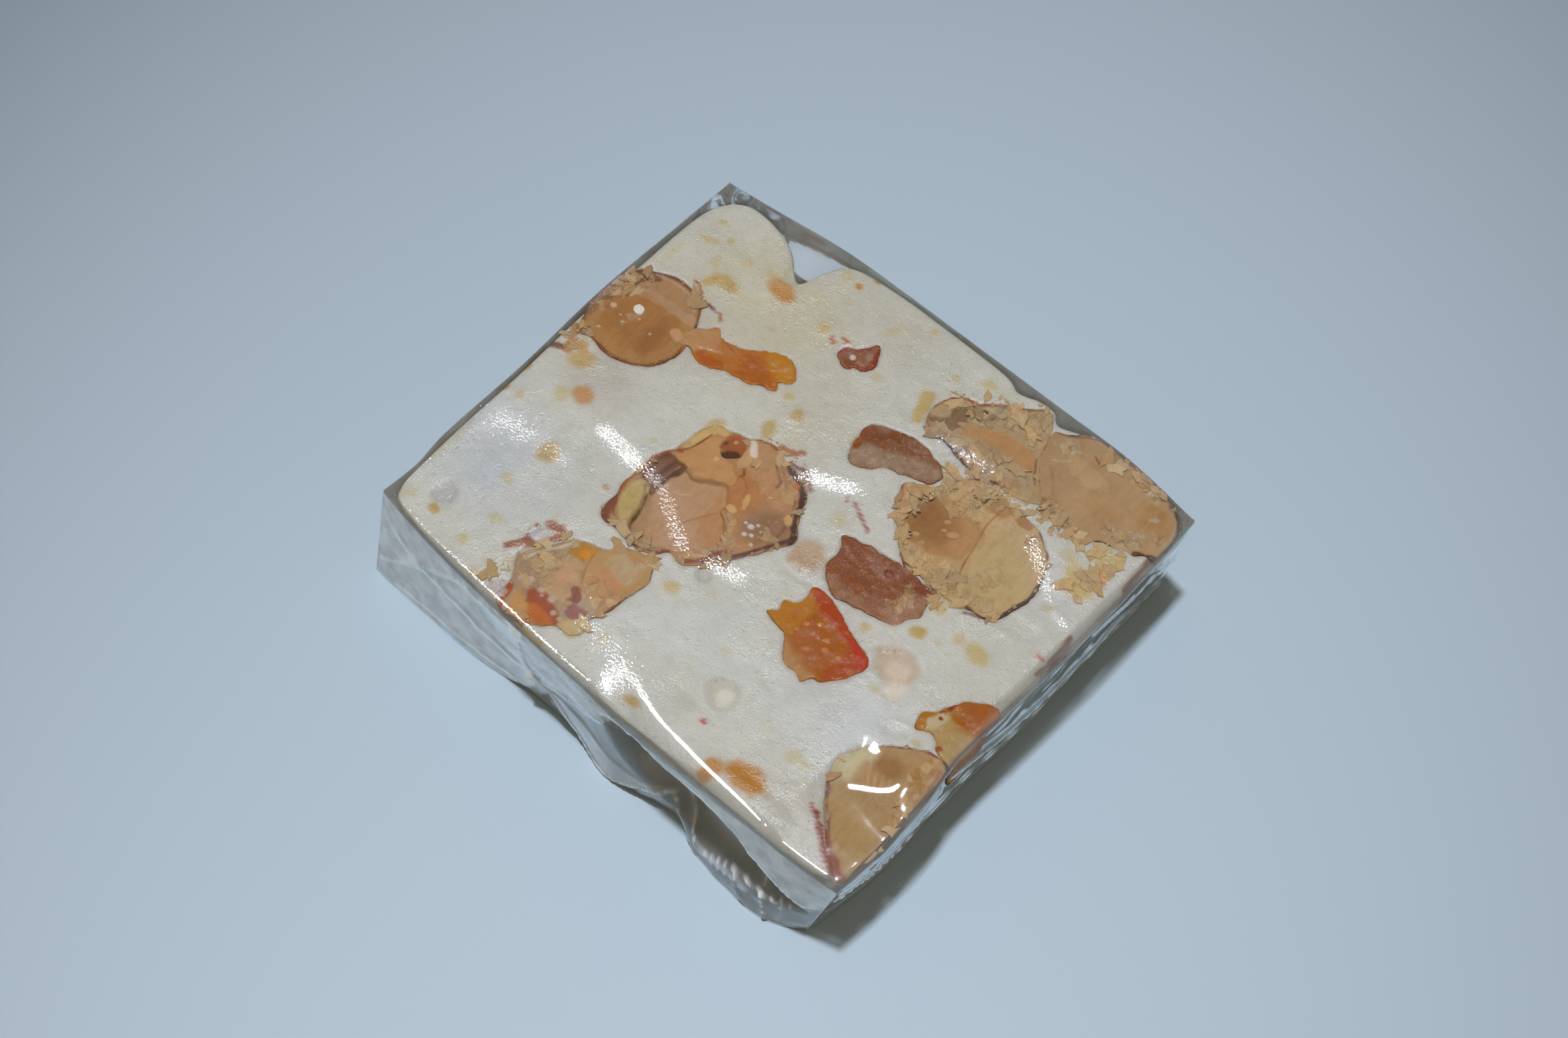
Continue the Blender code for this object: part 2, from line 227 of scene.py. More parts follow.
class Surface:
    """A worked surface: its points (x, y), how far each is lifted, and its colour there."""

    def __init__(self, points, colour):
        self.points = points
        self.lift = np.zeros(len(points))
        self.colour = np.tile(linear(colour), (len(points), 1))
        self.broken = np.zeros(len(points))  # where it is flaky

    def near(self, shape, margin):
        low, high = np.min(shape, axis=0) - margin, np.max(shape, axis=0) + margin
        return np.nonzero(((self.points > low) & (self.points < high)).all(1))[0]

    def lay(self, at, share, colour, lift):
        """Mixes a colour in and adds a lift, by each point's share."""
        if colour is not None:
            self.colour[at] += (linear(colour) - self.colour[at]) * share[:, None]
        self.lift[at] += lift * share

    def patch(self, outline, colour, lift=0.0, soft=0.15, ragged=0.2, size=0.7, share=1.0):
        """An area with a ragged border that fades over `soft` mm."""
        loop = curve(outline, 0.4)
        at = self.near(loop, soft + ragged)
        away = inside_by(self.points[at], loop) + ragged * grain(self.points[at], size, len(at))
        self.lay(at, share * ramp(away, -soft, soft), colour, lift)

    def line(self, path, colour, width=0.3, lift=0.0, ragged=0.4, share=1.0):
        """A strip along a path, thicker and thinner along it."""
        way = curve(path, 0.4, closed=False)
        at = self.near(way, width * 2)
        wide = width / 2 * (1 + ragged * grain(self.points[at], 0.6, len(at)))
        away = wide - distance_to(self.points[at], way)
        self.lay(at, share * ramp(away, -0.09, 0.09), colour, lift)

    def spot(self, x, y, half_x, half_y, colour, turn=0, lift=0.0, soft=0.35, share=1.0):
        """A blob with an uneven border."""
        at = self.near(np.array([(x, y)]), 1.6 * max(half_x, half_y))
        c, s = math.cos(math.radians(turn)), math.sin(math.radians(turn))
        away = self.points[at] - (x, y)
        away = away @ np.array([(c, -s), (s, c)]) / (half_x, half_y)
        far = np.linalg.norm(away, axis=1) + 0.16 * grain(self.points[at], 0.6, len(at))
        self.lay(at, share * ramp(1 + soft - far, 0, 2 * soft), colour, lift)

    def plates(self, outline, size, colours, lift, seed, cover=1.0, flaky=0.3):
        """Broken flat flakes, each with its own colour, height and tilt. Looser bits lie where it is flaky."""
        draw = np.random.default_rng(seed)
        loop = curve(outline, 0.4)
        at = self.near(loop, 0.3)
        here = self.points[at]
        low, high = loop.min(0) - 1, loop.max(0) + 1
        count = int(np.prod(high - low) / size**2)
        middles = draw.uniform(low, high, (count, 2))
        kinds, tilts = draw.integers(len(colours), size=count), draw.normal(0, 1, (count, 2))
        heights, shown = draw.uniform(-1, 1, count), draw.random(count) < cover
        warped = here + 0.3 * size * np.stack([grain(here, 0.5, seed), grain(here, 0.5, seed + 1)], 1)
        gaps = np.linalg.norm(warped[:, None] - middles, axis=2)
        nearest = gaps.argmin(1)
        two = np.partition(gaps, 1, axis=1)
        border = two[:, 1] - two[:, 0]
        share = ramp(inside_by(here, loop) + 0.25 * grain(here, 0.5, seed + 2), -0.1, 0.1)
        share = share * shown[nearest]
        self.broken[at] = np.maximum(self.broken[at], share * flaky)
        tint = np.array([linear(colour) for colour in colours])[kinds[nearest]]
        self.colour[at] += (tint - self.colour[at]) * (share * 0.85)[:, None]
        # Painted shade: the flakes are darkened towards their borders, in the gaps between them.
        self.colour[at] *= (1 - 0.16 * share * (1 - ramp(border, 0, 0.22)))[:, None]
        tilted = ((here - middles[nearest]) * tilts[nearest]).sum(1) * 0.25 / size
        self.lift[at] += share * lift * (heights[nearest] + tilted - 0.8 * (1 - ramp(border, 0, 0.25)))

    def mottle(self, size, amount, seed):
        """Makes the colour darker and lighter in patches."""
        self.colour *= (1 + amount * grain(self.points, size, seed))[:, None]

    def rough(self, size, height, seed):
        self.lift += height * grain(self.points, size, seed)


def mesh_piece(name, points, faces, finish, colour=None, **marks):
    """An object from points in mm. Its colours and marks are stored at its points."""
    mesh = bpy.data.meshes.new(name)
    mesh.from_pydata((np.asarray(points) * MM).tolist(), [], faces)
    if colour is not None:
        tint = mesh.attributes.new("tint", "FLOAT_COLOR", "POINT")
        solid = np.concatenate([np.clip(colour, 0, 1), np.ones((len(colour), 1))], 1)
        tint.data.foreach_set("color", solid.ravel())
    for mark, values in marks.items():
        mesh.attributes.new(mark, "FLOAT", "POINT").data.foreach_set("value", np.asarray(values, float))
    mesh.materials.append(finish)
    mesh.shade_smooth()
    made = bpy.data.objects.new(name, mesh)
    scene.collection.objects.link(made)
    return made


def rows(length, cell, close):
    """Shares from 0 to 1, `cell` mm apart, with closer rows near both ends."""
    near = np.array(close) / length
    middle = np.linspace(near[-1], 1 - near[-1], max(int(length / cell), 2) + 1)[1:-1]
    return np.concatenate([near, middle, 1 - near[::-1]])


def block_grid(rim, cell, close=(0, 0.08, 0.2, 0.36, 0.56, 0.8, 1.1, 1.45)):
    """The points of a four-sided top between its side lines (a Coons patch), and its rim."""
    us, vs = rows(53, cell, close), rows(46, cell, close)
    front, right = spaced(rim[0], us), spaced(rim[1], vs)
    back, left = spaced(rim[2][::-1], us), spaced(rim[3][::-1], vs)
    u, v = us[:, None, None], vs[None, :, None]
    ends = front[:, None] * (1 - v) + back[:, None] * v
    sides = left[None] * (1 - u) + right[None] * u
    corners = (front[0] * (1 - u) + front[-1] * u) * (1 - v) + (back[0] * (1 - u) + back[-1] * u) * v
    count, wide = len(us), len(vs)
    index = np.arange(count * wide).reshape(count, wide)
    around = np.concatenate([index[:-1, 0], index[-1, :-1], index[:0:-1, -1], index[0, :0:-1]])
    faces = np.stack([index[:-1, :-1], index[1:, :-1], index[1:, 1:], index[:-1, 1:]], -1)
    shares = [us[:-1], vs[:-1], 1 - us[:0:-1], 1 - vs[:0:-1]]
    return (ends + sides - corners).reshape(-1, 2), faces.reshape(-1, 4), around, shares


def walls(first, rings, count):
    """Quads that join rings of `count` points, each numbered on from the last; `first` is the rim."""
    joined = [np.asarray(first)] + [np.arange(start, start + count) for start in rings]
    faces = []
    for upper, lower in zip(joined, joined[1:]):
        faces.append(np.stack([upper, lower, np.roll(lower, -1), np.roll(upper, -1)], 1))
    return np.concatenate(faces)


def closed_block(top, grid_faces, around, wall_rings, base_shares, base_relief=None):
    """The points and faces of a closed block from its top, its wall rings and a flat base."""
    points, count = [top, *wall_rings], len(around)
    foot = wall_rings[-1]
    middle = foot.mean(0)
    for share in base_shares:
        points.append(middle + (foot - middle) * (share, share, 1))
        points[-1][:, 2] = 0.0
    points = np.concatenate(points)
    starts = [len(top) + k * count for k in range(len(wall_rings) + len(base_shares))]
    faces = [*grid_faces.tolist(), *walls(around, starts, count).tolist()]
    points = np.concatenate([points, [(middle[0], middle[1], 0.0)]])
    last = starts[-1]
    faces += [(last + (k + 1) % count, last + k, len(points) - 1) for k in range(count)]
    return points, faces


class Wire:
    """A socket in a material's node tree. Sums written with it add Math nodes."""

    def __init__(self, tree, socket=None):
        self.tree, self.socket = tree, socket

    def add(self, kind, settings, inputs, output=0):
        """Adds any node: its settings first, then the values or links of its inputs."""
        node = self.tree.nodes.new("ShaderNode" + kind)
        for name, value in settings.items():
            if name == "stops":
                while len(node.color_ramp.elements) < len(value):
                    node.color_ramp.elements.new(0.5)
                for stop, (place, colour) in zip(node.color_ramp.elements, value):
                    stop.position, stop.color = place, colour
            else:
                setattr(node, name, value)
        for name, value in inputs.items():
            if isinstance(value, Wire):
                self.tree.links.new(value.socket, node.inputs[name])
            else:
                node.inputs[name].default_value = value
        return Wire(self.tree, node.outputs[output])

    def sum(self, operation, first, second, clamp=False):
        settings = {"operation": operation, "use_clamp": clamp}
        return self.add("Math", settings, {0: first, 1: second})

    def __add__(self, other):
        return self.sum("ADD", self, other)

    def __sub__(self, other):
        return self.sum("SUBTRACT", self, other)

    def __rsub__(self, other):
        return self.sum("SUBTRACT", other, self)

    def __mul__(self, other):
        return self.sum("MULTIPLY", self, other)

    def __truediv__(self, other):
        return self.sum("DIVIDE", self, other)

    __radd__, __rmul__ = __add__, __mul__

    def noise(self, size, detail=2.0, stretch=None):
        """Noise from 0 to 1 on the piece, with lumps of this size in mm."""
        place = self.add("TexCoord", {}, {}, "Object")
        if stretch:
            place = self.add("Mapping", {}, {"Vector": place, "Scale": stretch})
        return self.add("TexNoise", {}, {"Vector": place, "Scale": 1 / (size * MM), "Detail": detail})

    def cells(self, size, feature="F1", output="Distance", warp=0.0):
        """Cells of this size in mm; `warp` bends their borders by so many mm."""
        place = self.add("TexCoord", {}, {}, "Object")
        if warp:
            bend = self.add("TexNoise", {}, {"Vector": place, "Scale": 1 / (size * MM), "Detail": 2.0}, "Color")
            place = self.add("VectorMath", {"operation": "MULTIPLY_ADD"}, {0: bend, 1: (2 * warp * MM,) * 3, 2: place})
        return self.add("TexVoronoi", {"feature": feature}, {"Vector": place, "Scale": 1 / (size * MM)}, output)

    def ramp(self, start, stop, low=0.0, high=1.0):
        return self.add("MapRange", {"interpolation_type": "SMOOTHSTEP"}, {
            "Value": self, "From Min": start, "From Max": stop, "To Min": low, "To Max": high})

    def blend(self, share, other, kind="MIX"):
        """This colour with another mixed in."""
        return self.add("Mix", {"data_type": "RGBA", "blend_type": kind}, {
            0: share, 6: self, 7: other}, 2)


def finish(name, roughness=0.5, **sockets):
    """An empty material of the maker's: its wire to build on, and its Principled shader."""
    made = bpy.data.materials.new(name)
    made.use_nodes = True
    shader = made.node_tree.nodes["Principled BSDF"]
    shader.inputs["Roughness"].default_value = roughness
    for socket, value in sockets.items():
        shader.inputs[socket.replace("_", " ")].default_value = value
    return made, Wire(made.node_tree), shader


def join(wire, shader, socket):
    wire.tree.links.new(wire.socket, shader.inputs[socket])


def grey(value):
    return (value, value, value, 1.0)


def body_colour(wire):
    return wire.add("Attribute", {"attribute_name": "tint"}, {}, "Color")


def bump(wire, shader, height, distance, strength=1.0):
    """Feeds a height from 0 to 1, over this many mm, to the shader's normal."""
    made = wire.add("Bump", {}, {"Height": height, "Distance": distance * MM, "Strength": strength})
    join(made, shader, "Normal")


# What the film's sheen and the lamps add to each kind of piece, taken off its colour beforehand.
SHEEN_ADDS = {"almond": (0.0, 0.0, 0.012), "candied_peel": (0.0, 0.022, 0.045), "candied_fruit": (0.0, 0.008, 0.028)}
buried = []  # the outlines of the pieces, which the nougat gives way to
nuts = []  # the tops of the almonds: points, faces, colours and how flaky they are


class Cut(Surface):
    """A piece sawn through: a disc of points inside its outline, with an underside added at the end."""

    def __init__(self, outline, colour, seed, wobble=0.13, cell=0.15):
        loop = curve(outline, cell)
        after = np.roll(loop, -1, axis=0)
        if (loop[:, 0] * after[:, 1] - loop[:, 1] * after[:, 0]).sum() < 0:
            loop = loop[::-1]
        run = np.roll(loop, -2, axis=0) - np.roll(loop, 2, axis=0)
        run /= np.linalg.norm(run, axis=1)[:, None]
        loop = loop + run[:, ::-1] * (1, -1) * wobble * (grain(loop, 0.9, seed) + 0.7 * grain(loop, 0.4, seed))[:, None]
        self.loop, self.middle, self.count = loop, loop.mean(0), len(loop)
        buried.append(loop[::3])
        reach = np.linalg.norm(loop - self.middle, axis=1).max()
        shares = 1 - np.arange(int(reach / cell)) / int(reach / cell)
        discs = self.middle + (loop - self.middle)[None] * shares[:, None, None]
        points = np.concatenate([discs.reshape(-1, 2), [self.middle]])
        super().__init__(points, colour)
        self.rings = len(shares)
        self.edge = inside_by(points, loop)

    def skin(self, colour, width=0.28, lift=0.05, seed=1, share=1.0):
        """Darkens a thin, uneven band at the edge."""
        wide = width * (1 + 0.5 * grain(self.points, 1.1, seed) + 0.3 * grain(self.points, 0.4, seed))
        band = share * (1 - ramp(self.edge, 0.6 * wide, 1.25 * wide))
        self.lay(np.arange(len(self.points)), band, colour, lift)

    def band(self, start, stop, colour, lift=0.0, share=1.0):
        """Tints a band between two distances from the edge."""
        level = self.edge + 0.12 * grain(self.points, 0.7, len(self.points))
        here = share * ramp(level, start - 0.12, start + 0.12) * (1 - ramp(level, stop - 0.2, stop + 0.2))
        self.lay(np.arange(len(self.points)), here, colour, lift)

    def piece(self, name, node, material, slot, depth, power=2.0, side=(96, 60, 44), proud=0.03):
        """Puts the worked disc at the top of the nougat and closes it with a rounded underside."""
        film = wrap_height(self.points)
        z = film - CLING + proud + self.lift - 0.07 * (1 - ramp(self.edge, 0, 0.14))
        z = np.minimum(z, film - 0.035)
        top = np.column_stack([self.points, z])
        index = np.arange(self.rings * self.count).reshape(self.rings, self.count)
        after = np.roll(index, -1, axis=1)
        faces = np.stack([index[:-1], after[:-1], after[1:], index[1:]], -1).reshape(-1, 4).tolist()
        faces += [(a, b, len(top) - 1) for a, b in zip(index[-1], after[-1])]
        top_faces = list(faces)
        rim, points, colours = top[: self.count], [top], [self.colour]
        levels = [0.02, 0.07, 0.16, 0.3, 0.45, 0.6, 0.75, 0.88, 0.96]
        for level in levels:
            scale = (1 - level**power) ** (1 / power)
            ring = np.column_stack([self.middle + (rim[:, :2] - self.middle) * scale, rim[:, 2] - depth * level])
            ring[:, :2] += 0.12 * grain(ring, 1.3, 5)[:, None]
            points.append(ring)
            rough = 1 + 0.25 * grain(ring, 0.9, 6)
            colours.append(np.clip(linear(side)[None] * rough[:, None], 0, 1))
        starts = [len(top) + k * self.count for k in range(len(levels))]
        faces += walls(np.arange(self.count), starts, self.count).tolist()
        broken = np.zeros(len(top) + len(levels) * self.count + 1)
        broken[: len(top)] = np.maximum(self.broken, 0.4 * (slot == "almond") * (1 - ramp(self.edge, 0.1, 0.6)))
        points = np.concatenate([*points, [(*self.middle, rim[:, 2].mean() - depth)]])
        colours = np.concatenate([*colours, [linear(side)]])
        last = starts[-1]
        faces += [(last + (k + 1) % self.count, last + k, len(points) - 1) for k in range(self.count)]
        up = np.clip(points[:, 2] / TOP, 0, 1)
        points[:, 0] = np.clip(points[:, 0], -27.0, 25.3 + 1.5 * up)
        points[:, 1] = np.clip(points[:, 1], -23.3, 22.9 + 0.95 * up)
        colours = np.clip(colours * 1.04 - SHEEN_ADDS[slot], 0.003, 1)
        if slot == "almond":
            nuts.append((points[: len(top)], top_faces, colours[: len(top)], broken[: len(top)]))
        made = mesh_piece(name, points, faces, material, colours, broken=broken)
        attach(made, "root")
        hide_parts(node)
        return made


def almond_finish():
    made, wire, shader = finish("almond_flesh", 0.5, Specular_IOR_Level=0.14, Subsurface_Weight=0.05, Subsurface_Scale=0.0005)
    shader.inputs["Subsurface Radius"].default_value = (1.0, 0.55, 0.3)
    broken = wire.add("Attribute", {"attribute_name": "broken"}, {}, "Fac")
    fibre, crumb, grit = wire.noise(0.5, 4.0, (1.0, 0.35, 1.0)), wire.noise(0.8, 4.0), wire.noise(0.15, 2.0)
    split = wire.cells(1.1, "DISTANCE_TO_EDGE", warp=0.5)
    colour = body_colour(wire).blend(fibre.ramp(0.35, 0.7, 0, 0.45), (0.86, 0.78, 0.70, 1), "MULTIPLY")
    colour = colour.blend(crumb.ramp(0.5, 0.8, 0, 0.5), (0.78, 0.68, 0.60, 1), "MULTIPLY")
    colour = colour.blend(grit.ramp(0.55, 0.7, 0, 1) * (broken * 0.6 + 0.25), (1.22, 1.20, 1.14, 1), "MULTIPLY")
    colour = colour.blend(grit.ramp(0.45, 0.3, 0, 1) * (broken * 0.6 + 0.2), (0.78, 0.70, 0.62, 1), "MULTIPLY")
    # Painted shade: the cracks between the cells are darker and browner.
    colour = colour.blend(split.ramp(0.0, 0.05, 0.45, 0) * broken, (0.78, 0.64, 0.50, 1), "MULTIPLY")
    join(colour, shader, "Base Color")
    join(fibre.ramp(0.3, 0.7, 0.38, 0.6), shader, "Roughness")
    bump(wire, shader, crumb * 0.45 + grit * 0.3 + split.ramp(0.0, 0.12) * broken * 0.25, 0.15, 0.9)
    return made


almond_flesh = almond_finish()
SKIN, SKIN_PURPLE, SKIN_RED = (84, 50, 42), (80, 50, 52), (126, 62, 42)

left_almond = Cut([
    (-22.8, 11.1), (-20.6, 10.9), (-19.0, 9.9), (-17.9, 7.7), (-17.4, 5.2), (-18.4, 2.7), (-20.4, 1.4), (-22.4, 1.0),
    (-24.4, 1.3), (-25.6, 0.9), (-26.3, 2.0), (-27.1, 5.0), (-27.1, 7.6), (-26.0, 9.4), (-24.4, 10.4)],
    (155, 109, 58), 21, wobble=0.07)
left_almond.mottle(2.2, 0.08, 1)
left_almond.band(0.25, 1.35, (164, 125, 76), share=0.8)
# Painted highlight: a paler pinkish-grey zone along the top of the cut, and a whitish hazy line across it.
left_almond.patch([(-24.0, 10.2), (-21.0, 10.6), (-19.0, 9.6), (-18.4, 8.5), (-21.0, 8.0), (-24.4, 8.4)], (164, 130, 94), 0.0, soft=0.5, share=0.8)
left_almond.line([(-24.4, 7.9), (-21.4, 8.4), (-18.4, 8.6)], (182, 160, 134), 0.9, 0.0, share=0.3)
left_almond.spot(-20.4, 4.8, 0.9, 1.9, (140, 92, 44), 10, share=0.7)
left_almond.spot(-22.6, 2.6, 1.6, 0.8, (166, 122, 66), 0, share=0.6)
for x in (-24.0, -23.3, -22.2, -21.5, -19.6):
    left_almond.line([(x, 6.6), (x + 0.1, 4.6), (x + 0.4, 2.4)], (142, 98, 52), 0.16, 0.0, share=0.35)
left_almond.patch([(-27.4, 9.6), (-24.6, 10.8), (-24.2, 9.4), (-25.4, 8.0), (-26.4, 5.6), (-27.6, 5.4)], (118, 78, 56), 0.02, ragged=0.5)
left_almond.plates([(-27.2, 9.0), (-24.4, 9.6), (-24.6, 7.4), (-26.0, 5.2), (-26.0, 2.4), (-24.4, 2.0), (-24.8, 0.8), (-27.2, 1.0)],
                   0.7, [(150, 104, 62), (126, 84, 56), (172, 148, 116), (140, 96, 58)], 0.12, 22, cover=0.75, flaky=0.8)
left_almond.plates([(-24.2, 6.2), (-21.6, 6.4), (-20.6, 4.2), (-23.0, 3.2)], 0.6, [(168, 134, 98), (150, 110, 70)], 0.05, 23, cover=0.2, flaky=0.0)
left_almond.line([(-27.0, 7.6), (-26.0, 9.1), (-24.8, 10.2), (-22.8, 10.9), (-20.6, 10.8), (-19.1, 9.8), (-18.2, 8.3)], (112, 62, 50), 0.26, 0.05, ragged=0.8)
left_almond.line([(-17.7, 6.1), (-17.5, 4.8), (-18.5, 2.8), (-20.4, 1.5), (-22.4, 1.15), (-24.2, 1.4), (-25.2, 1.9)], (118, 62, 44), 0.26, 0.05, ragged=0.8)
left_almond.line([(-26.9, 8.2), (-27.0, 6.2), (-26.9, 4.2), (-26.2, 2.2), (-25.5, 1.2)], (104, 70, 48), 0.4, 0.02, share=0.7)
left_almond.line([(-24.6, 10.0), (-22.6, 10.5), (-20.8, 10.4), (-19.4, 9.5)], (186, 176, 164), 0.16, 0.02, share=0.5)
left_almond.spot(-23.2, 6.3, 0.52, 0.44, (214, 208, 198), -20, lift=0.12, soft=0.08)
for x, y, half in ((-25.2, 5.1, 0.3), (-22.5, 5.6, 0.14), (-20.7, 5.1, 0.12), (-24.0, 4.8, 0.14), (-23.4, 4.4, 0.16), (-24.6, 2.6, 0.16)):
    left_almond.spot(x, y, half, 0.8 * half, (196, 176, 146), 20, lift=0.06, soft=0.15, share=0.8)
left_almond.spot(-18.9, 6.7, 0.7, 0.55, (184, 146, 104), 0, lift=0.08, soft=0.15)
left_almond.piece("left_almond", "almond_left", almond_flesh, "almond", 6.4, side=(112, 74, 50))

back_left_almond = Cut([
    (2.8, 16.5), (3.3, 18.1), (4.3, 19.1), (5.8, 19.6), (7.2, 20.9), (8.8, 21.8), (10.6, 23.1), (11.8, 22.4), (12.5, 20.9),
    (13.1, 19.2), (13.9, 17.9), (15.1, 16.6), (16.2, 15.6), (15.4, 15.0), (13.6, 14.5), (11.8, 14.2), (10.2, 13.7), (8.0, 14.1),
    (6.0, 14.4), (4.2, 14.4), (3.2, 15.0)],
    (168, 147, 113), 24)
back_left_almond.mottle(1.8, 0.10, 2)
back_left_almond.patch([(6.4, 16.2), (9.0, 17.0), (13.2, 17.4), (12.6, 19.0), (9.8, 18.9), (7.2, 18.0), (6.2, 17.0)], (171, 133, 88), -0.06, soft=0.3)
back_left_almond.plates([(3.6, 14.6), (13.6, 14.4), (14.8, 15.6), (13.0, 16.9), (8.0, 16.6), (5.4, 15.9)], 1.0,
                        [(178, 160, 126), (166, 142, 106), (180, 150, 108), (158, 130, 96)], 0.11, 25, cover=0.85, flaky=0.6)
back_left_almond.plates([(6.6, 18.6), (8.0, 20.8), (10.6, 22.6), (12.0, 20.8), (12.6, 18.8), (9.6, 19.4)], 1.1,
                        [(176, 158, 122), (168, 148, 112), (181, 152, 108)], 0.10, 26, cover=0.85, flaky=0.55)
back_left_almond.patch([(3.6, 15.6), (4.4, 16.6), (4.6, 18.2), (6.3, 18.4), (6.0, 17.6), (5.6, 16.8), (6.6, 16.6), (6.0, 15.8), (4.8, 15.8)],
                       (126, 100, 72), -0.30, soft=0.14, ragged=0.3)
back_left_almond.plates([(4.6, 18.2), (6.0, 19.4), (7.6, 20.8), (8.2, 18.8), (6.6, 17.6)], 0.7,
                        [(176, 160, 132), (150, 128, 98), (164, 144, 112)], 0.10, 27, cover=0.9)
back_left_almond.line([(2.8, 16.7), (3.2, 17.9), (4.1, 19.0), (5.4, 19.3), (6.2, 19.9), (6.9, 20.6)], (146, 84, 48), 0.38, 0.05)
back_left_almond.line([(7.4, 20.7), (8.6, 21.6), (9.6, 22.4), (10.6, 23.0)], (132, 100, 80), 0.3, 0.04)
back_left_almond.line([(4.2, 14.5), (5.6, 14.5), (7.2, 14.4), (8.6, 14.0), (10.3, 13.8)], SKIN_PURPLE, 0.3, 0.04)
back_left_almond.line([(9.0, 13.8), (10.2, 13.7)], SKIN_RED, 0.4, 0.05)
back_left_almond.line([(3.0, 15.9), (3.5, 15.0), (4.4, 14.9)], (140, 96, 66), 0.2, 0.03)
back_left_almond.line([(12.9, 18.7), (13.5, 17.8), (14.2, 16.9), (15.0, 16.2)], (128, 84, 58), 0.16, -0.08)
back_left_almond.line([(13.1, 20.3), (12.9, 19.4), (12.95, 18.8)], (150, 116, 80), 0.12, -0.04)
back_left_almond.spot(11.8, 14.4, 0.5, 0.18, (96, 54, 40), 10, lift=-0.05, soft=0.1)
back_left_almond.spot(13.0, 14.7, 0.6, 0.16, (104, 62, 44), 15, lift=-0.05, soft=0.1)
back_left_almond.spot(6.6, 19.3, 0.3, 0.15, (70, 48, 38), 0, lift=-0.05, soft=0.1)
back_left_almond.spot(12.7, 14.8, 0.35, 0.4, (190, 124, 64), 0, soft=0.2, share=0.7)
back_left_almond.piece("back_left_almond", "almond_back_left", almond_flesh, "almond", 4.0)

back_right_almond = Cut([
    (12.3, 21.9), (13.5, 22.5), (14.5, 23.3), (16.0, 23.9), (19.0, 24.0), (22.0, 23.8), (24.4, 23.2), (26.0, 22.5), (26.9, 21.0),
    (27.1, 19.6), (27.0, 18.2), (25.2, 17.3), (23.4, 16.7), (22.0, 16.0), (20.8, 15.1), (18.4, 15.1), (16.4, 14.9),
    (16.1, 15.5), (15.0, 16.6), (13.8, 17.8), (13.0, 19.1), (12.5, 20.6)],
    (167, 139, 101), 28)
back_right_almond.mottle(2.6, 0.06, 3)
back_right_almond.spot(24.4, 20.9, 1.7, 1.5, (163, 126, 78), 0, share=0.8)
back_right_almond.spot(21.0, 18.4, 1.6, 0.9, (162, 128, 84), 0, share=0.7)
back_right_almond.patch([(15.2, 21.3), (19.4, 21.0), (18.8, 19.8), (15.6, 19.9)], (173, 146, 108), 0.05, soft=0.12)
back_right_almond.plates([(21.4, 17.2), (22.4, 18.2), (24.6, 19.2), (25.2, 18.2), (24.8, 17.2), (22.8, 16.6)], 0.7,
                         [(172, 160, 140), (168, 150, 122), (178, 160, 128)], 0.10, 29, cover=0.9, flaky=0.9)
back_right_almond.plates([(14.6, 15.2), (16.2, 16.4), (18.6, 16.2), (20.6, 15.6), (18.0, 14.8), (15.6, 14.6)], 0.6,
                         [(170, 146, 110), (152, 122, 86), (178, 156, 120)], 0.11, 30, cover=0.9, flaky=0.8)
back_right_almond.plates([(13.0, 21.6), (15.6, 23.4), (19.0, 23.8), (23.6, 23.2), (22.4, 22.4), (17.0, 22.6), (14.2, 20.8)], 0.8,
                         [(176, 158, 126), (168, 140, 102), (184, 172, 150)], 0.08, 31, cover=0.6, flaky=0.5)
back_right_almond.plates([(22.8, 22.8), (24.6, 22.6), (26.2, 20.4), (25.6, 19.0), (23.6, 21.4)], 0.5, [(182, 166, 138), (160, 128, 84)], 0.06, 32, cover=0.35)
back_right_almond.line([(12.4, 22.0), (13.5, 22.4), (14.4, 23.1), (15.6, 23.8)], (116, 84, 74), 0.3, 0.04, ragged=0.8)
back_right_almond.line([(17.4, 23.9), (18.8, 23.8), (20.2, 23.7)], (140, 86, 52), 0.34, 0.04, ragged=0.8)
back_right_almond.line([(21.0, 23.8), (22.6, 23.6), (24.2, 23.2), (25.2, 22.8)], (110, 88, 84), 0.42, 0.03, ragged=1.0)
back_right_almond.line([(25.1, 22.8), (26.0, 22.2), (26.7, 21.5), (27.0, 20.0)], (62, 46, 44), 0.45, 0.04, ragged=0.7)
back_right_almond.line([(20.1, 15.2), (21.1, 15.3), (22.0, 16.0), (23.5, 16.6)], (96, 54, 40), 0.32, 0.04)
back_right_almond.line([(25.1, 17.3), (26.0, 17.8), (26.9, 18.2)], (86, 48, 38), 0.42, 0.04)
back_right_almond.line([(15.1, 15.0), (16.4, 15.0), (17.6, 15.2), (18.6, 15.1)], (120, 78, 56), 0.28, -0.02, ragged=1.2)
back_right_almond.line([(14.8, 16.5), (15.6, 16.1), (16.7, 15.9)], (134, 92, 62), 0.16, -0.05)
back_right_almond.line([(13.6, 17.8), (14.2, 17.0), (15.0, 16.3)], (128, 84, 58), 0.16, -0.06)
back_right_almond.line([(16.6, 22.3), (17.3, 22.0)], (140, 70, 50), 0.16, 0.02)
back_right_almond.line([(15.2, 20.6), (14.6, 19.9), (14.0, 19.6)], (186, 160, 122), 0.12, 0.03)
back_right_almond.line([(14.2, 19.0), (15.4, 18.0), (16.2, 17.0)], (150, 120, 84), 0.12, -0.04)
back_right_almond.piece("back_right_almond", "almond_back_right", almond_flesh, "almond", 4.0)

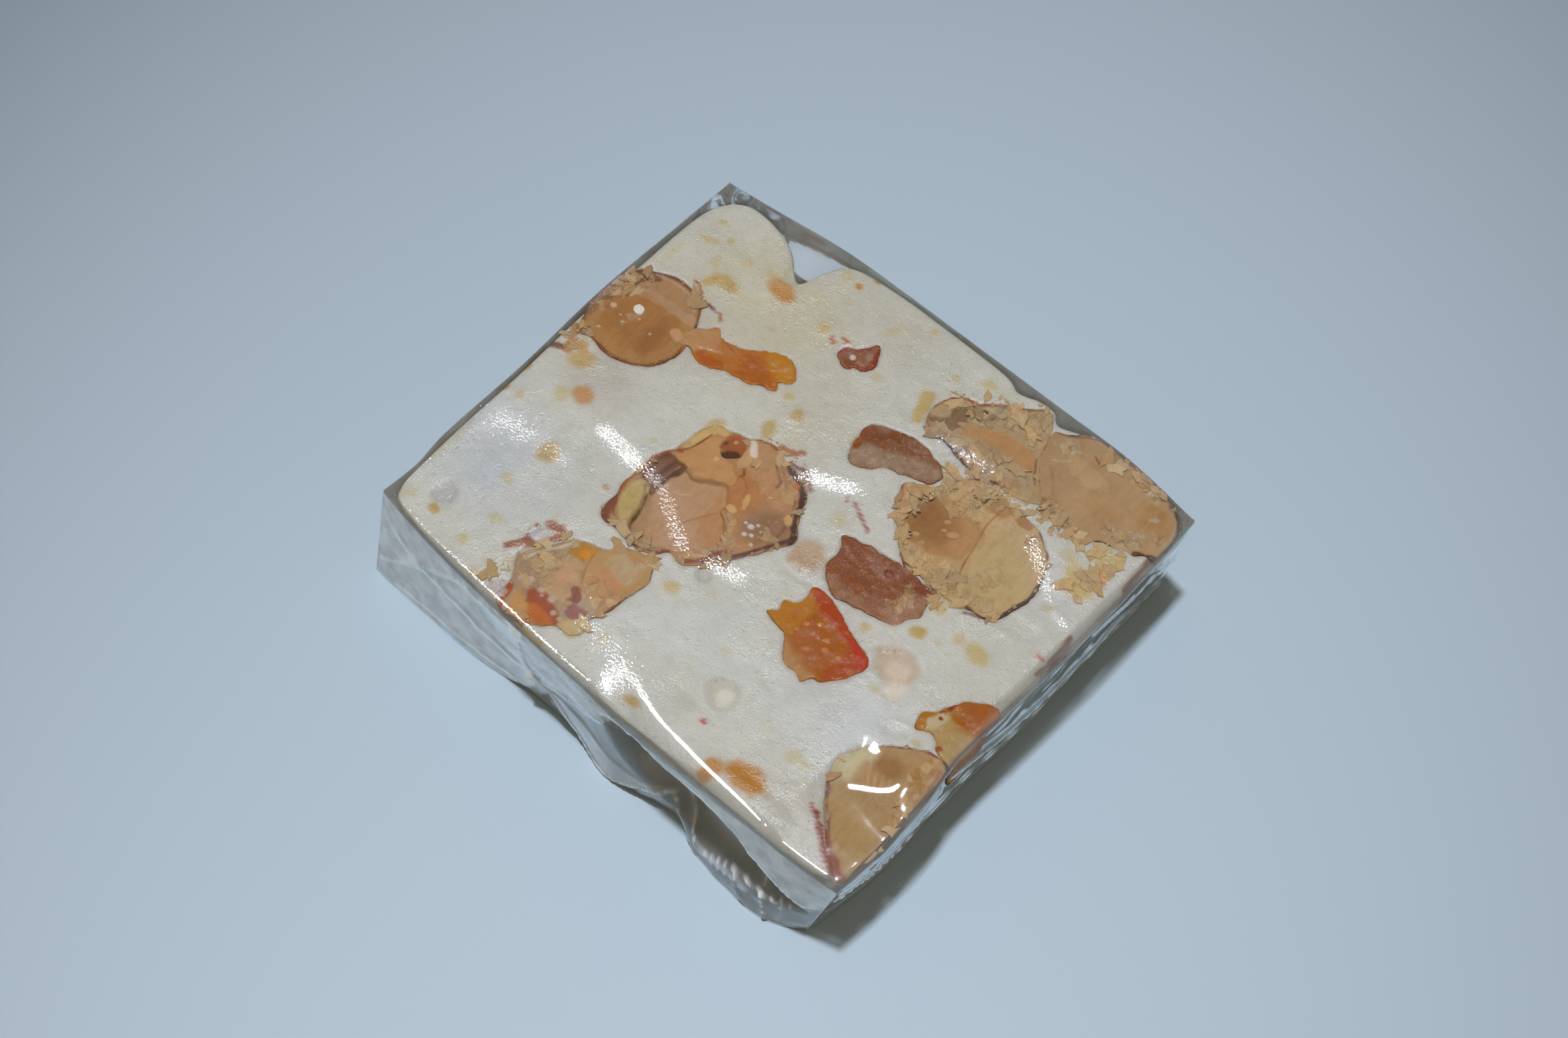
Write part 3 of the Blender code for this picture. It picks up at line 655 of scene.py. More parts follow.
right_almond = Cut([
    (6.0, 8.9), (6.6, 9.8), (8.2, 10.5), (8.8, 11.6), (9.7, 12.9), (10.6, 13.8), (12.6, 13.9), (15.0, 13.8), (17.6, 13.4),
    (19.4, 12.4), (20.6, 10.9), (21.2, 9.0), (21.3, 7.4), (20.8, 5.8), (20.4, 4.4), (18.6, 3.7), (17.2, 3.2), (15.0, 3.2),
    (12.6, 3.2), (11.2, 3.1), (9.9, 4.1), (8.6, 5.4), (7.4, 6.6), (6.5, 7.8)],
    (183, 158, 115), 33)
right_almond.mottle(2.4, 0.06, 4)
right_almond.patch([(14.4, 4.4), (15.6, 7.2), (15.0, 12.0), (18.4, 12.6), (20.4, 9.6), (20.6, 6.6), (19.0, 4.4), (16.0, 3.6)], (178, 158, 114), 0.0, soft=0.6, share=0.8)
right_almond.patch([(8.3, 9.9), (10.0, 10.3), (12.3, 10.6), (14.2, 9.8), (14.6, 8.0), (13.8, 6.4), (11.8, 5.6), (10.0, 5.5), (8.7, 6.3), (8.4, 8.0)],
                   (172, 134, 88), -0.34, soft=0.55, ragged=0.3)
# Painted shade: the left part of the hollow is darker brown, most at its left wall.
right_almond.patch([(8.4, 9.6), (9.8, 9.9), (11.6, 9.6), (12.6, 8.2), (12.2, 6.8), (11.0, 5.9), (9.6, 5.8), (8.6, 6.8)], (146, 104, 60), -0.10, soft=0.9, share=0.95)
right_almond.patch([(8.5, 9.4), (9.4, 9.6), (10.4, 8.6), (10.2, 6.8), (9.2, 6.2), (8.6, 7.4)], (138, 96, 54), 0.0, soft=0.7, share=0.7)
right_almond.plates([(8.6, 10.4), (9.8, 13.0), (11.0, 13.7), (13.0, 13.6), (12.8, 11.6), (11.8, 10.2), (10.0, 10.1)], 1.0,
                    [(180, 162, 124), (172, 152, 116), (184, 156, 112)], 0.12, 34, cover=0.95, flaky=1.0)
right_almond.plates([(6.4, 9.4), (8.4, 10.2), (8.4, 8.2), (8.6, 6.2), (10.0, 5.2), (11.8, 5.2), (13.6, 6.2), (15.6, 5.2), (15.4, 3.4), (11.4, 3.3), (8.8, 5.2), (6.8, 7.8)],
                    1.0, [(178, 158, 118), (186, 160, 116), (168, 142, 104), (190, 166, 122)], 0.12, 35, cover=0.85, flaky=0.8)
right_almond.plates([(15.4, 4.6), (16.4, 7.4), (18.6, 8.6), (20.2, 6.6), (19.0, 4.4), (16.6, 3.6)], 1.3, [(180, 162, 120), (172, 150, 108), (184, 160, 116)], 0.06, 36, cover=0.6)
right_almond.plates([(13.0, 13.7), (17.6, 13.3), (18.8, 11.8), (16.4, 11.4), (14.2, 12.0)], 0.9, [(176, 150, 110), (186, 168, 134), (160, 128, 90)], 0.08, 37, cover=0.6)
for x, y, half in ((11.2, 8.9, 0.35), (12.4, 8.3, 0.6), (11.5, 8.1, 0.3), (9.9, 6.2, 0.4), (10.9, 5.9, 0.35)):
    right_almond.spot(x, y, half, 0.6 * half, (178, 146, 102), 40, lift=0.14, soft=0.12)
right_almond.patch([(13.0, 13.4), (14.7, 13.3), (14.6, 12.2), (12.8, 12.2)], (166, 130, 86), -0.05, soft=0.2)
right_almond.patch([(15.6, 13.6), (17.0, 13.5), (17.0, 13.0), (15.4, 12.9)], (158, 118, 76), -0.03, soft=0.1)
right_almond.line([(14.0, 12.7), (13.95, 11.0), (14.2, 9.6), (14.6, 8.2), (14.8, 7.1)], (158, 112, 68), 0.12, -0.09)
right_almond.line([(14.9, 6.9), (15.2, 6.0), (15.7, 5.0), (15.9, 4.4)], (150, 100, 60), 0.13, -0.08)
right_almond.line([(5.9, 9.0), (6.7, 7.8), (7.5, 6.3), (8.8, 5.0), (10.0, 3.8), (11.3, 3.1)], (136, 84, 58), 0.36, 0.05)
right_almond.line([(6.1, 9.2), (7.0, 7.9), (7.9, 6.7), (9.0, 5.6)], (176, 132, 100), 0.26, 0.04, share=0.7)
right_almond.line([(8.2, 10.4), (8.7, 11.5), (9.5, 12.8), (10.4, 13.7)], (156, 104, 84), 0.3, 0.04, ragged=0.8)
right_almond.line([(17.9, 13.3), (19.3, 12.5), (20.4, 11.2), (21.1, 9.4)], (112, 70, 66), 0.24, 0.05)
right_almond.line([(21.1, 9.4), (21.25, 7.8), (20.9, 6.4), (20.5, 5.0)], (76, 52, 58), 0.46, 0.05)
right_almond.line([(17.1, 3.3), (17.8, 3.7), (18.8, 3.7), (20.4, 4.1)], (96, 60, 52), 0.28, 0.04, ragged=0.9)
right_almond.line([(11.2, 3.3), (11.9, 3.4), (12.0, 3.7)], (88, 50, 40), 0.16, 0.03)
right_almond.piece("right_almond", "almond_right", almond_flesh, "almond", 4.2)

centre_almond = Cut([
    (-10.9, -1.2), (-10.7, 0.4), (-10.3, 1.8), (-9.6, 2.5), (-8.6, 2.7), (-7.9, 3.0), (-6.9, 3.2), (-6.0, 3.9), (-4.8, 4.2),
    (-3.4, 3.8), (-2.4, 3.6), (-0.9, 3.4), (0.6, 2.5), (1.3, 1.2), (1.9, -0.1), (2.8, -1.2), (2.9, -1.9), (2.0, -3.3), (0.9, -5.3),
    (-0.5, -7.4), (-1.4, -8.6), (-2.8, -9.7), (-4.3, -9.5), (-5.0, -10.4), (-6.2, -11.1), (-7.6, -11.2), (-9.2, -11.0), (-10.9, -11.1),
    (-11.6, -10.2), (-11.6, -8.6), (-12.0, -7.4), (-11.9, -5.6), (-11.8, -4.0), (-11.5, -2.8), (-10.9, -2.0)],
    (168, 128, 88), 38, wobble=0.08)
centre_almond.mottle(1.6, 0.07, 5)
centre_almond.patch([(-6.4, 3.4), (-4.4, 3.9), (-0.8, 3.2), (0.6, 2.2), (0.2, 0.8), (-2.2, 0.6), (-4.6, 0.4), (-5.4, 1.4)], (172, 138, 100), 0.02, soft=0.5, share=0.8)
centre_almond.patch([(-5.2, 0.6), (-3.6, 0.6), (-2.2, -0.4), (-1.9, -2.2), (-3.0, -3.2), (-4.4, -2.4), (-5.4, -1.2)], (172, 116, 66), 0.0, soft=0.6, share=0.8)
centre_almond.patch([(-0.6, -0.6), (1.4, -0.4), (2.0, -1.8), (1.0, -3.6), (-0.4, -4.4), (-1.8, -3.4), (-1.6, -1.6)], (142, 108, 80), -0.08, soft=0.6, share=0.9)
centre_almond.plates([(-5.6, 3.6), (-1.2, 2.8), (0.4, 1.6), (-0.6, -0.4), (-3.2, 0.2), (-4.8, 1.0)], 1.5, [(182, 148, 106), (170, 130, 92), (178, 138, 96)], 0.05, 39, cover=0.7, flaky=0.1)
centre_almond.plates([(-3.8, -3.2), (-1.6, -4.4), (-0.4, -6.2), (-1.4, -8.2), (-3.4, -9.2), (-3.8, -8.2), (-2.0, -6.4), (-3.0, -4.6)], 0.8,
                     [(170, 136, 98), (156, 116, 84), (180, 152, 114)], 0.10, 40, cover=0.85, flaky=0.5)
centre_almond.patch([(-10.9, -1.2), (-10.7, 0.4), (-10.3, 1.8), (-9.6, 2.6), (-8.6, 2.7), (-8.4, 2.2), (-9.2, 1.7), (-9.6, 0.8), (-9.9, -0.4), (-10.3, -1.2)],
                    (190, 164, 106), 0.02, soft=0.15)
centre_almond.patch([(-10.4, -2.3), (-9.9, -0.8), (-9.5, 1.2), (-8.6, 1.6), (-7.8, 0.5), (-7.1, 0.4), (-6.0, 0.2), (-4.8, -0.6), (-4.9, -1.4), (-5.5, -1.6), (-6.3, -1.9),
                     (-7.3, -2.3), (-8.0, -2.8), (-8.4, -2.5), (-9.6, -2.6)],
                    (182, 141, 92), 0.10, soft=0.08, ragged=0.12)
centre_almond.patch([(-8.9, -2.7), (-8.0, -3.0), (-6.4, -2.2), (-5.2, -1.6), (-4.0, -2.8), (-3.8, -3.6), (-2.3, -5.0), (-1.6, -6.7), (-1.9, -7.9), (-3.4, -8.7),
                     (-4.6, -9.4), (-7.0, -10.4), (-8.2, -10.4), (-8.7, -9.4), (-9.0, -8.0), (-9.5, -6.4), (-9.3, -4.4)], (176, 142, 106), -0.40, soft=0.14, ragged=0.15)
centre_almond.patch([(-5.4, -2.0), (-3.8, -3.2), (-2.0, -5.4), (-1.8, -7.4), (-3.4, -7.0), (-4.8, -5.6), (-5.8, -7.0), (-4.6, -4.6)], (176, 128, 82), 0.0, soft=0.5, share=0.7)
# Painted shade: the main hollow is darker towards its lower left.
centre_almond.patch([(-9.2, -7.0), (-8.4, -7.4), (-7.6, -9.4), (-6.4, -10.2), (-8.2, -10.4), (-8.9, -9.0)], (150, 120, 84), 0.0, soft=0.4, share=0.6)
centre_almond.line([(-4.1, -3.9), (-5.0, -5.4), (-5.8, -7.0)], (146, 106, 70), 0.10, -0.03)
centre_almond.line([(-8.4, -4.9), (-7.6, -4.7), (-6.9, -4.0)], (190, 164, 132), 0.09, 0.02)
for x, y in ((-6.6, -4.0), (-6.9, -5.9), (-7.2, -4.8), (-4.0, -6.3), (-5.3, -7.4), (-6.8, -8.0)):
    centre_almond.spot(x, y, 0.12, 0.28, (168, 114, 68), 10, soft=0.4, share=0.5)
for x in (-7.4, -6.7, -6.0):
    centre_almond.line([(x, -8.2), (x - 0.3, -9.2), (x - 0.4, -9.9)], (166, 120, 76), 0.16, 0.0, share=0.35)
# Painted shadow: the hollow below the raised flake is dark brown for the shade that flake casts, with darker and
# lighter brown streaks in it.
centre_almond.patch([(-11.3, -3.2), (-10.8, -2.5), (-9.9, -2.6), (-8.9, -2.6), (-9.2, -3.8), (-9.4, -5.0), (-9.5, -6.6), (-10.3, -6.0), (-11.4, -5.4)],
                    (112, 70, 48), -0.38, soft=0.12, ragged=0.12)
for x, colour in ((-10.9, (136, 84, 58)), (-10.4, (84, 50, 38)), (-9.9, (140, 96, 66)), (-9.6, (70, 42, 34))):
    centre_almond.line([(x + 0.3, -2.8), (x + 0.1, -4.0), (x, -5.6)], colour, 0.22, 0.02, ragged=0.8)
# Painted shadow: a dark line along the right side of the pale chip.
centre_almond.line([(-10.3, -6.2), (-9.7, -6.9), (-9.2, -8.2), (-8.8, -9.8), (-8.4, -10.5)], (92, 64, 40), 0.30, -0.36)
centre_almond.patch([(-10.6, -5.7), (-10.1, -5.9), (-9.7, -7.0), (-9.2, -8.2), (-9.0, -9.4), (-8.6, -10.3), (-9.1, -10.4), (-10.0, -10.0), (-10.8, -9.2), (-11.4, -7.9),
                     (-11.5, -6.7), (-11.1, -6.0)], (178, 158, 106), 0.06, soft=0.06, ragged=0.08)
centre_almond.line([(-10.8, -6.2), (-11.2, -7.0), (-11.0, -8.2)], (188, 172, 122), 0.2, 0.0, share=0.6)
centre_almond.patch([(-11.5, -8.6), (-11.0, -9.2), (-10.3, -10.1), (-10.4, -10.9), (-11.2, -10.9), (-11.6, -10.0)], (122, 66, 44), 0.0, soft=0.12)
centre_almond.patch([(-10.8, -10.0), (-10.0, -10.3), (-8.8, -10.5), (-8.4, -10.9), (-10.4, -10.9)], (162, 136, 106), 0.0, soft=0.12)
centre_almond.plates([(-8.3, -10.5), (-6.8, -10.3), (-4.6, -9.4), (-4.8, -10.2), (-6.2, -11.0), (-8.2, -11.0)], 0.5, [(178, 164, 136), (164, 142, 112)], 0.08, 48, cover=0.9, flaky=0.9)
centre_almond.line([(-10.4, -1.7), (-11.2, -2.4), (-11.6, -3.4), (-11.8, -5.0), (-11.9, -7.2), (-11.6, -8.4)], (148, 84, 48), 0.36, 0.05, ragged=0.7)
centre_almond.line([(-9.55, 1.3), (-9.75, 0.2), (-10.1, -1.0), (-10.7, -1.8)], (116, 62, 36), 0.16, -0.02)
centre_almond.line([(-11.5, -8.4), (-11.45, -10.1), (-10.9, -10.95), (-9.2, -11.0), (-7.4, -11.1), (-6.1, -10.9)], (110, 58, 42), 0.24, 0.05)
centre_almond.line([(-6.1, -10.7), (-5.2, -10.3), (-4.7, -9.7), (-4.5, -9.4)], (122, 62, 44), 0.28, 0.04, ragged=0.8)
centre_almond.line([(-2.2, 3.4), (-1.0, 3.1), (0.3, 2.3), (1.0, 1.2), (1.6, -0.2), (2.5, -1.3), (2.6, -1.9)], (72, 40, 40), 0.62, 0.04)
centre_almond.line([(0.2, 1.5), (0.9, 0.2), (1.3, -0.9), (1.4, -2.4)], (124, 84, 62), 0.2, 0.0, ragged=0.9)
centre_almond.line([(2.5, -1.8), (1.6, -3.3), (0.6, -5.2), (-0.7, -7.3), (-1.5, -8.4)], (86, 56, 64), 0.38, 0.04)
centre_almond.line([(-0.9, -6.2), (-1.4, -7.2), (-1.8, -8.2), (-2.8, -9.3)], (132, 70, 48), 0.40, 0.02, ragged=1.0)
centre_almond.patch([(-8.5, 1.7), (-7.9, 2.9), (-7.2, 3.0), (-6.6, 2.6), (-6.3, 1.7), (-7.4, 1.1), (-8.2, 0.9)], (150, 84, 44), -0.05, soft=0.12)
centre_almond.line([(-8.3, 2.0), (-7.8, 2.9), (-7.2, 3.0)], (168, 96, 44), 0.3, 0.04)
# Painted shade: the small deep hole is coloured near black-brown for the shade inside it.
centre_almond.patch([(-7.8, 0.6), (-7.4, 0.3), (-6.7, 0.8), (-6.3, 1.4), (-6.8, 1.5), (-7.4, 1.1)], (66, 38, 30), -0.32, soft=0.06, ragged=0.1)
centre_almond.spot(-8.1, 1.6, 0.2, 0.22, (96, 56, 50), 0, soft=0.2)
centre_almond.spot(-7.5, 2.2, 0.2, 0.2, (182, 150, 110), 0, lift=0.03, soft=0.2)
centre_almond.patch([(-6.4, 3.2), (-6.0, 3.1), (-5.6, 2.5), (-5.1, 1.7), (-5.1, 0.8), (-5.6, 0.3), (-6.0, 0.6), (-6.3, 1.9)], (186, 152, 106), 0.10, soft=0.06, ragged=0.08)
centre_almond.line([(-6.3, 3.1), (-5.9, 2.8), (-5.5, 2.3)], (208, 202, 190), 0.45, 0.02, ragged=0.8, share=0.9)
centre_almond.line([(-5.1, 0.7), (-4.8, 0.3), (-4.9, 0.0)], (112, 56, 32), 0.18, -0.05)
centre_almond.line([(-4.9, 0.2), (-4.2, -0.1), (-3.6, -0.6), (-3.4, -1.3)], (150, 92, 56), 0.09, -0.02)
centre_almond.line([(-6.4, 3.7), (-5.2, 4.1), (-4.4, 4.1)], (150, 88, 56), 0.3, 0.03, ragged=1.0)
centre_almond.line([(-3.4, 2.9), (-2.5, 2.3), (-1.9, 1.9), (-1.8, 1.2)], (132, 86, 72), 0.16, -0.03, ragged=1.0)
centre_almond.line([(-2.6, 3.0), (-1.6, 2.2), (-1.0, 1.6)], (140, 96, 78), 0.10, -0.03, ragged=1.0)
centre_almond.spot(-0.7, 2.6, 0.35, 0.25, (184, 104, 46), -30, soft=0.3)
for x, y, half_x, half_y, turn in ((-2.85, -1.5, 0.85, 0.33, -65), (1.1, -0.4, 0.5, 0.36, -50), (-3.1, -8.6, 0.3, 0.45, 10), (-7.6, -0.15, 0.3, 0.25, 0), (-3.4, -2.9, 0.55, 0.4, 0)):
    centre_almond.spot(x, y, half_x, half_y, (194, 160, 108), turn, lift=0.07, soft=0.08)
for x, y, half in ((-0.9, -3.0, 0.36), (-0.5, -2.5, 0.18), (-0.3, -3.6, 0.24), (0.3, -4.3, 0.2), (-0.8, -3.9, 0.26), (0.1, -2.8, 0.14), (-1.5, -3.0, 0.16)):
    centre_almond.spot(x, y, half, 0.8 * half, (208, 204, 204), 20, lift=0.08, soft=0.2, share=0.85)
centre_almond.broken = np.maximum(centre_almond.broken, 0.2 * hump(*centre_almond.points.T, (-0.4, -2.6), (1.6, 1.8)))
centre_almond.piece("centre_almond", "almond_centre", almond_flesh, "almond", 4.2)

front_almond = Cut([
    (-13.3, -17.2), (-12.4, -15.6), (-11.1, -14.2), (-9.6, -13.5), (-8.6, -13.2), (-7.8, -12.2), (-6.7, -11.5), (-5.3, -11.2), (-4.2, -11.9),
    (-3.6, -12.8), (-3.9, -14.5), (-4.0, -15.9), (-4.2, -17.3), (-4.8, -18.3), (-5.0, -19.2), (-4.4, -20.2), (-5.2, -20.9), (-6.8, -21.2),
    (-7.6, -22.0), (-9.0, -22.8), (-10.4, -23.0), (-11.4, -23.1), (-12.2, -22.8), (-12.5, -21.2), (-13.1, -19.6), (-13.8, -18.4)],
    (164, 146, 116), 41)
front_almond.mottle(1.8, 0.06, 6)
front_almond.plates([(-13.4, -18.4), (-12.0, -16.4), (-10.6, -15.4), (-10.0, -17.0), (-10.0, -19.4), (-12.8, -20.6)], 0.9,
                    [(178, 164, 130), (170, 148, 116), (184, 166, 142)], 0.09, 42, cover=0.9, flaky=0.5)
front_almond.patch([(-13.6, -18.8), (-11.6, -18.4), (-9.6, -19.0), (-8.0, -19.6), (-7.4, -20.6), (-9.6, -21.0), (-12.8, -21.0)], (158, 130, 108), 0.0, soft=0.4, share=0.85)
front_almond.patch([(-10.4, -20.0), (-8.4, -19.8), (-6.6, -20.4), (-7.0, -21.2), (-8.4, -21.6), (-10.2, -21.2)], (152, 78, 48), -0.04, soft=0.2, ragged=0.35)
front_almond.patch([(-9.6, -21.0), (-8.0, -20.9), (-6.9, -21.1), (-7.6, -22.0), (-9.0, -22.6), (-9.8, -22.0)], (176, 100, 42), 0.02, soft=0.2, ragged=0.3)
front_almond.patch([(-11.2, -20.8), (-9.8, -21.2), (-9.2, -22.4), (-10.2, -23.0), (-11.0, -22.6)], (184, 142, 84), 0.03, soft=0.25, ragged=0.3)
front_almond.patch([(-5.9, -19.4), (-4.6, -19.4), (-4.2, -20.4), (-5.2, -21.0), (-6.6, -20.9), (-6.2, -20.2)], (186, 164, 118), 0.05, soft=0.15, ragged=0.3)
front_almond.patch([(-8.95, -14.1), (-8.5, -13.2), (-7.8, -12.2), (-6.7, -11.5), (-5.3, -11.2), (-4.2, -11.9), (-3.6, -12.8), (-3.9, -14.5), (-4.1, -15.9), (-4.3, -17.3),
                    (-4.9, -18.0), (-6.0, -17.3), (-6.9, -17.5), (-7.8, -16.8), (-8.5, -15.7)], (176, 142, 96), 0.07, soft=0.12, ragged=0.2)
front_almond.patch([(-7.6, -12.8), (-6.4, -12.2), (-5.2, -12.0), (-4.6, -13.2), (-4.9, -14.4), (-6.2, -14.9), (-7.2, -14.2)], (178, 156, 120), 0.03, soft=0.25, ragged=0.4)
front_almond.spot(-6.2, -14.9, 1.4, 0.5, (182, 134, 94), -10, soft=0.4, share=0.8)
front_almond.plates([(-7.8, -15.6), (-4.4, -15.4), (-4.6, -17.6), (-7.0, -17.4)], 0.9, [(186, 154, 112), (178, 140, 98), (190, 164, 126)], 0.06, 43, cover=0.7, flaky=0.1)
front_almond.patch([(-11.0, -16.4), (-10.1, -15.7), (-9.2, -15.3), (-8.3, -16.1), (-7.6, -17.5), (-7.0, -19.1), (-8.5, -19.4), (-9.9, -19.1), (-10.5, -18.0)],
                   (178, 150, 112), 0.09, soft=0.10, ragged=0.25)
front_almond.spot(-9.2, -17.2, 0.9, 0.8, (188, 150, 118), 0, soft=0.4, share=0.7)
front_almond.patch([(-10.9, -14.8), (-10.7, -14.0), (-9.6, -13.6), (-8.95, -13.3), (-8.95, -14.9), (-9.9, -15.4), (-10.7, -15.6)], (176, 128, 46), -0.02, soft=0.12, ragged=0.2)
front_almond.spot(-9.4, -14.6, 0.5, 0.4, (196, 134, 24), 10, soft=0.3)
front_almond.line([(-11.6, -14.4), (-12.3, -15.6), (-13.3, -17.0), (-13.8, -18.0)], (186, 178, 158), 0.42, 0.07)
front_almond.line([(-11.0, -14.5), (-11.7, -15.8), (-12.6, -17.2), (-13.0, -18.2)], (188, 178, 156), 0.36, 0.06)
front_almond.line([(-11.3, -14.5), (-12.0, -15.8), (-13.0, -17.2)], (150, 128, 100), 0.12, -0.05)
front_almond.patch([(-8.0, -17.6), (-7.0, -17.6), (-6.8, -18.4), (-7.6, -18.6)], (142, 90, 76), -0.04, soft=0.12, ragged=0.3)
front_almond.patch([(-6.8, -18.6), (-5.6, -18.4), (-5.2, -19.4), (-6.2, -19.9), (-7.0, -19.6)], (148, 98, 92), -0.04, soft=0.15, ragged=0.3)
front_almond.line([(-12.1, -21.1), (-11.8, -22.2), (-11.4, -23.0)], (160, 72, 38), 0.5, 0.04, ragged=0.9)
front_almond.plates([(-12.6, -21.4), (-11.9, -21.6), (-11.8, -23.0), (-12.6, -22.8)], 0.4, [(192, 188, 184), (178, 166, 156)], 0.05, 44, cover=0.8, flaky=0.4)
for x, y, half in ((-9.5, -19.9, 0.16), (-8.6, -19.6, 0.4), (-9.9, -19.6, 0.35), (-11.2, -19.4, 0.35), (-12.0, -19.9, 0.3), (-7.6, -20.4, 0.3), (-6.8, -20.5, 0.25)):
    front_almond.spot(x, y, half, 0.8 * half, (190, 168, 150), 20, lift=0.05, soft=0.3, share=0.8)
front_almond.line([(-4.1, -15.8), (-4.2, -17.0), (-4.5, -17.9), (-4.8, -18.3)], (132, 66, 48), 0.26, 0.04, ragged=0.8)
front_almond.line([(-8.9, -14.2), (-8.5, -15.6), (-7.8, -16.8)], (150, 112, 72), 0.10, -0.03)
front_almond.piece("front_almond", "almond_front", almond_flesh, "almond", 3.8, side=(150, 116, 84))

corner_almond = Cut([
    (20.9, -11.2), (21.7, -10.2), (23.1, -9.2), (24.6, -8.4), (26.2, -8.6), (27.3, -10.0), (27.6, -13.0), (27.7, -16.4),
    (27.6, -19.6), (27.0, -21.2), (26.0, -21.9), (24.4, -20.9), (22.8, -19.6), (21.3, -18.1), (20.3, -16.8), (19.7, -15.8),
    (19.2, -14.9), (19.2, -13.6), (19.7, -12.4), (20.2, -11.5)],
    (166, 138, 96), 45, wobble=0.08)
corner_almond.mottle(2.4, 0.06, 7)
corner_almond.patch([(20.6, -10.6), (21.4, -12.0), (21.4, -13.6), (20.9, -15.0), (20.0, -15.8), (18.4, -15.4), (18.4, -12.4)], (188, 180, 148), 0.0, soft=0.5, share=0.95)
corner_almond.patch([(20.6, -16.0), (23.6, -16.2), (27.6, -17.2), (27.4, -20.4), (25.8, -21.0), (23.0, -19.0), (21.2, -17.2)], (168, 142, 98), 0.0, soft=0.5)
corner_almond.patch([(21.6, -11.6), (22.6, -10.8), (23.8, -10.9), (24.2, -12.0), (23.4, -12.7), (22.0, -12.6)], (148, 110, 68), -0.16, soft=0.6, ragged=0.3)
corner_almond.patch([(21.2, -12.6), (23.8, -12.8), (24.2, -13.8), (22.6, -14.6), (21.2, -14.4)], (170, 138, 98), 0.0, soft=0.4, share=0.8)
for k in range(9):
    x = 21.2 + 0.36 * k
    corner_almond.line([(x, -12.6), (x + 0.35, -13.3), (x + 0.9, -14.0)], (192, 166, 128) if k % 2 else (160, 120, 78), 0.12, 0.02 * (-1) ** k, ragged=0.9, share=0.5)
corner_almond.plates([(24.8, -8.8), (27.2, -9.4), (27.6, -15.0), (26.0, -15.6), (24.8, -11.0)], 0.6, [(184, 146, 92), (166, 126, 76), (190, 160, 112)], 0.04, 46, cover=0.8, flaky=0.1)
corner_almond.line([(20.7, -11.5), (21.2, -10.6), (21.9, -9.8)], (150, 74, 52), 0.32, 0.05, ragged=0.8)
corner_almond.line([(21.9, -10.2), (22.9, -9.4), (24.2, -8.7), (25.2, -8.4)], (124, 76, 76), 0.22, 0.04, ragged=0.8)
corner_almond.line([(19.8, -15.2), (19.6, -15.7), (20.1, -16.3)], (142, 66, 54), 0.3, 0.04)
corner_almond.line([(20.2, -16.3), (20.9, -17.3), (21.7, -18.2), (22.8, -19.2), (23.9, -20.2)], (124, 92, 104), 0.24, 0.05, ragged=0.9)
corner_almond.patch([(21.2, -18.6), (22.6, -19.4), (24.0, -20.3), (25.4, -20.9), (26.6, -21.4), (26.0, -22.0), (24.2, -21.2), (22.6, -19.9)], (136, 68, 44), 0.0, soft=0.2, ragged=0.3)
corner_almond.line([(26.2, -9.2), (26.6, -11.0), (26.9, -12.6)], (134, 78, 60), 0.2, 0.0, ragged=0.9, share=0.7)
corner_almond.piece("corner_almond", "almond_corner", almond_flesh, "almond", 5.2, side=(150, 116, 78))

# ------------------------------------------------------------------------------------------------
# The candied peel: strips of orange peel boiled in syrup, so they are glossy and see-through, from
# pale amber in the pith to deep orange-red at the zest.


def peel_finish():
    made, wire, shader = finish("candied_peel", 0.34, Specular_IOR_Level=0.1, Subsurface_Weight=0.15, Subsurface_Scale=0.0007)
    shader.inputs["Subsurface Radius"].default_value = (1.0, 0.4, 0.12)
    cloud, pore, grit = wire.noise(0.9, 4.0), wire.cells(0.55), wire.noise(0.16, 1.0)
    colour = body_colour(wire).blend(cloud.ramp(0.4, 0.75, 0, 0.5), (0.84, 0.66, 0.45, 1), "MULTIPLY")
    colour = colour.blend(pore.ramp(0.0, 0.22, 0.35, 0), (1.12, 1.1, 1.0, 1), "MULTIPLY")
    colour = colour.blend(grit.ramp(0.70, 0.76, 0, 0.35), (0.85, 0.70, 0.5, 1))
    join(colour, shader, "Base Color")
    join(cloud.ramp(0.3, 0.7, 0.22, 0.42), shader, "Roughness")
    bump(wire, shader, cloud * 0.6 + pore * 0.4, 0.12, 0.7)
    return made


candied_peel = peel_finish()

left_peel = Cut([
    (-18.6, 7.4), (-17.3, 9.0), (-16.6, 9.7), (-15.9, 9.1), (-14.4, 9.4), (-12.6, 10.3), (-11.2, 11.2), (-9.9, 11.6), (-8.9, 11.3),
    (-8.0, 10.4), (-8.2, 9.6), (-8.9, 9.2), (-8.4, 8.4), (-9.8, 7.9), (-11.4, 7.2), (-12.9, 7.0), (-13.8, 6.5), (-14.4, 6.1),
    (-16.0, 6.1), (-17.2, 6.5), (-18.2, 6.3)],
    (170, 113, 66), 51)
left_peel.patch([(-19.0, 7.6), (-17.2, 9.2), (-16.4, 9.9), (-15.6, 9.2), (-15.4, 7.6), (-16.2, 6.6), (-18.6, 6.0)], (176, 142, 106), 0.03, soft=0.4)
left_peel.patch([(-11.4, 11.0), (-9.8, 11.7), (-8.2, 10.6), (-8.4, 9.4), (-10.2, 9.4), (-11.2, 10.0)], (176, 128, 64), 0.0, soft=0.4)
left_peel.patch([(-12.8, 9.8), (-11.2, 9.8), (-9.4, 9.2), (-8.5, 8.5), (-10.6, 7.4), (-12.4, 7.4)], (164, 100, 46), -0.03, soft=0.5)
